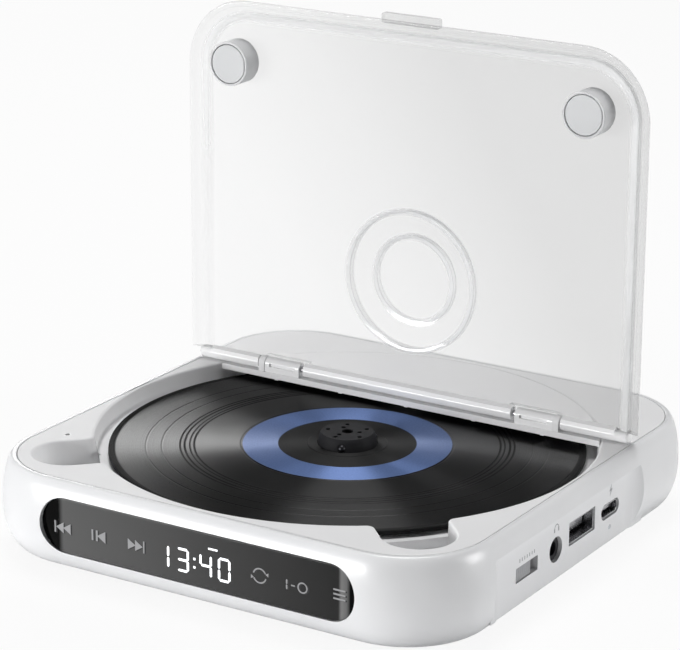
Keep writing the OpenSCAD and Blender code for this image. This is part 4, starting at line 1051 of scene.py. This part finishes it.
# CAD nodes shown as they are, by finish
kept = {
    "steelBright": ("base_screws", "chassis_screws", "hinge_pins", "guide_rods", "gear_axle"),
    "steelDark": ("hub_balls",),
    "motorSteel": ("spindle_motor", "sled_motor"),
    "boardGreen": ("display_board", "main_board"),
    "batteryFoil": ("battery",),
    "jackBlack": ("switch_body", "lid_sensor"),
    "lightPipe": ("charge_light",),
    "chassisZinc": ("traverse_chassis",),
    "grommetRubber": ("grommets",),
    "sledDark": ("pickup_sled",),
    "gearIvory": ("sled_rack", "sled_gear"),
    "pinionBrass": ("sled_pinion",),
    "lensDark": ("pickup_lens",),
}
for finish, names in kept.items():
    for name in names:
        nodes[name].data.materials.clear()
        nodes[name].data.materials.append(materials[finish])
print("CAD nodes dressed")


stageLook = {"floor": 0.9, "floorHalf": 6000, "seenWhite": 0.9, "world": 0.03}
# Place, height that it aims at over the middle, size, power
lampLook = {"topLamp": ((-0.12, 0.16, 1.18), 0.02, (0.55, 0.4), 9.2),
            "backLamp": ((-0.95, 0.98, 0.42), 0.03, (0.35, 0.22), 2.0),
            "frontLamp": ((-0.7, -1.25, 0.14), 0.02, (0.8, 0.24), 15.0),
            "rightLamp": ((1.25, 0.5, 0.3), 0.02, (0.5, 0.5), 7.5)}
# Fitted to the photograph: angles in degrees, focal length in pixels of the frame's width
cameraLook = {"azimuth": 31.75, "pitch": 17.78, "roll": 0.309, "focal": 2873.2, "wide": 680, "sensor": 36.0,
              "place": (0.35576, -0.57876, 0.27006), "clip": (0.05, 20)}


def buildFloor():
    # Square floor, pale: the camera sees part of it as plain white light, and it keeps the shadow. From below
    # it is clear, so that the underside can be seen
    half, pale = stageLook["floorHalf"], stageLook["floor"]
    floor = makeMesh("floor", [(x, y, 0) for x, y in bar(0, 0, 2 * half, 2 * half)], [(0, 1, 2, 3)])
    material, tree, shader, output = newMaterial("floorPale")
    link = tree.links.new
    clouds = addNoise(tree, objectPlace(tree), 3.0)
    link(addRamp(tree, clouds, [(0.3, pale), (0.7, pale + 0.01)]), shader.inputs["Base Color"])
    shader.inputs["Roughness"].default_value = 0.7

    def mixed(factor, a, b):   # two shaders mixed by a factor
        node = tree.nodes.new("ShaderNodeMixShader")
        for socket, value in zip(node.inputs, (factor, a, b)):
            link(value, socket)
        return node.outputs[0]

    seen = addMath(tree, "MULTIPLY", tree.nodes.new("ShaderNodeLightPath").outputs["Is Camera Ray"],
                   stageLook["seenWhite"])
    top = mixed(seen, shader.outputs[0], tree.nodes.new("ShaderNodeEmission").outputs[0])
    below = tree.nodes.new("ShaderNodeNewGeometry").outputs["Backfacing"]
    link(mixed(below, top, tree.nodes.new("ShaderNodeBsdfTransparent").outputs[0]), output.inputs["Surface"])
    floor.data.materials.append(material)


def buildWorld():
    # White where the camera looks straight at it, and dim as a source of light
    world = bpy.data.worlds.new("studio")
    bpy.context.scene.world = world
    world.use_nodes = True
    tree = world.node_tree
    back = tree.nodes["Background"]
    path = tree.nodes.new("ShaderNodeLightPath")
    seen = addMath(tree, "MAXIMUM", path.outputs["Is Camera Ray"], path.outputs["Is Transmission Ray"])
    strength = addMath(tree, "ADD", addMath(tree, "MULTIPLY", seen, 1 - stageLook["world"]), stageLook["world"])
    tree.links.new(strength, back.inputs["Strength"])
    back.inputs["Color"].default_value = (1, 1, 1, 1)


def addLamp(name, place, aimZ, size, power):
    # Rectangular lamp turned towards a point over the middle
    lamp = bpy.data.lights.new(name, "AREA")
    lamp.shape, lamp.size, lamp.size_y, lamp.energy = "RECTANGLE", size[0], size[1], power
    holder = showObject(name, lamp)
    holder.location = place
    holder.rotation_euler = (Vector((0, 0, aimZ)) - Vector(place)).to_track_quat("-Z", "Y").to_euler()


def buildCamera():
    # Its axes come from azimuth and pitch, then both side axes turn by the roll
    look = cameraLook
    az, pitch, roll = (math.radians(look[key]) for key in ("azimuth", "pitch", "roll"))
    back = Vector((math.sin(az) * math.cos(pitch), -math.cos(az) * math.cos(pitch), math.sin(pitch)))
    right = Vector((math.cos(az), math.sin(az), 0))
    up = back.cross(right)
    right, up = right * math.cos(roll) + up * math.sin(roll), up * math.cos(roll) - right * math.sin(roll)
    data = bpy.data.cameras.new("camera")
    data.sensor_width, data.lens = look["sensor"], look["focal"] / look["wide"] * look["sensor"]
    data.clip_start, data.clip_end = look["clip"]
    camera = showObject("camera", data)
    camera.matrix_world = Matrix.Translation(look["place"]) @ Matrix((right, up, back)).transposed().to_4x4()
    bpy.context.scene.camera = camera


buildFloor()
buildWorld()
for name, values in lampLook.items():
    addLamp(name, *values)
buildCamera()
bpy.context.scene.view_settings.view_transform = "Standard"
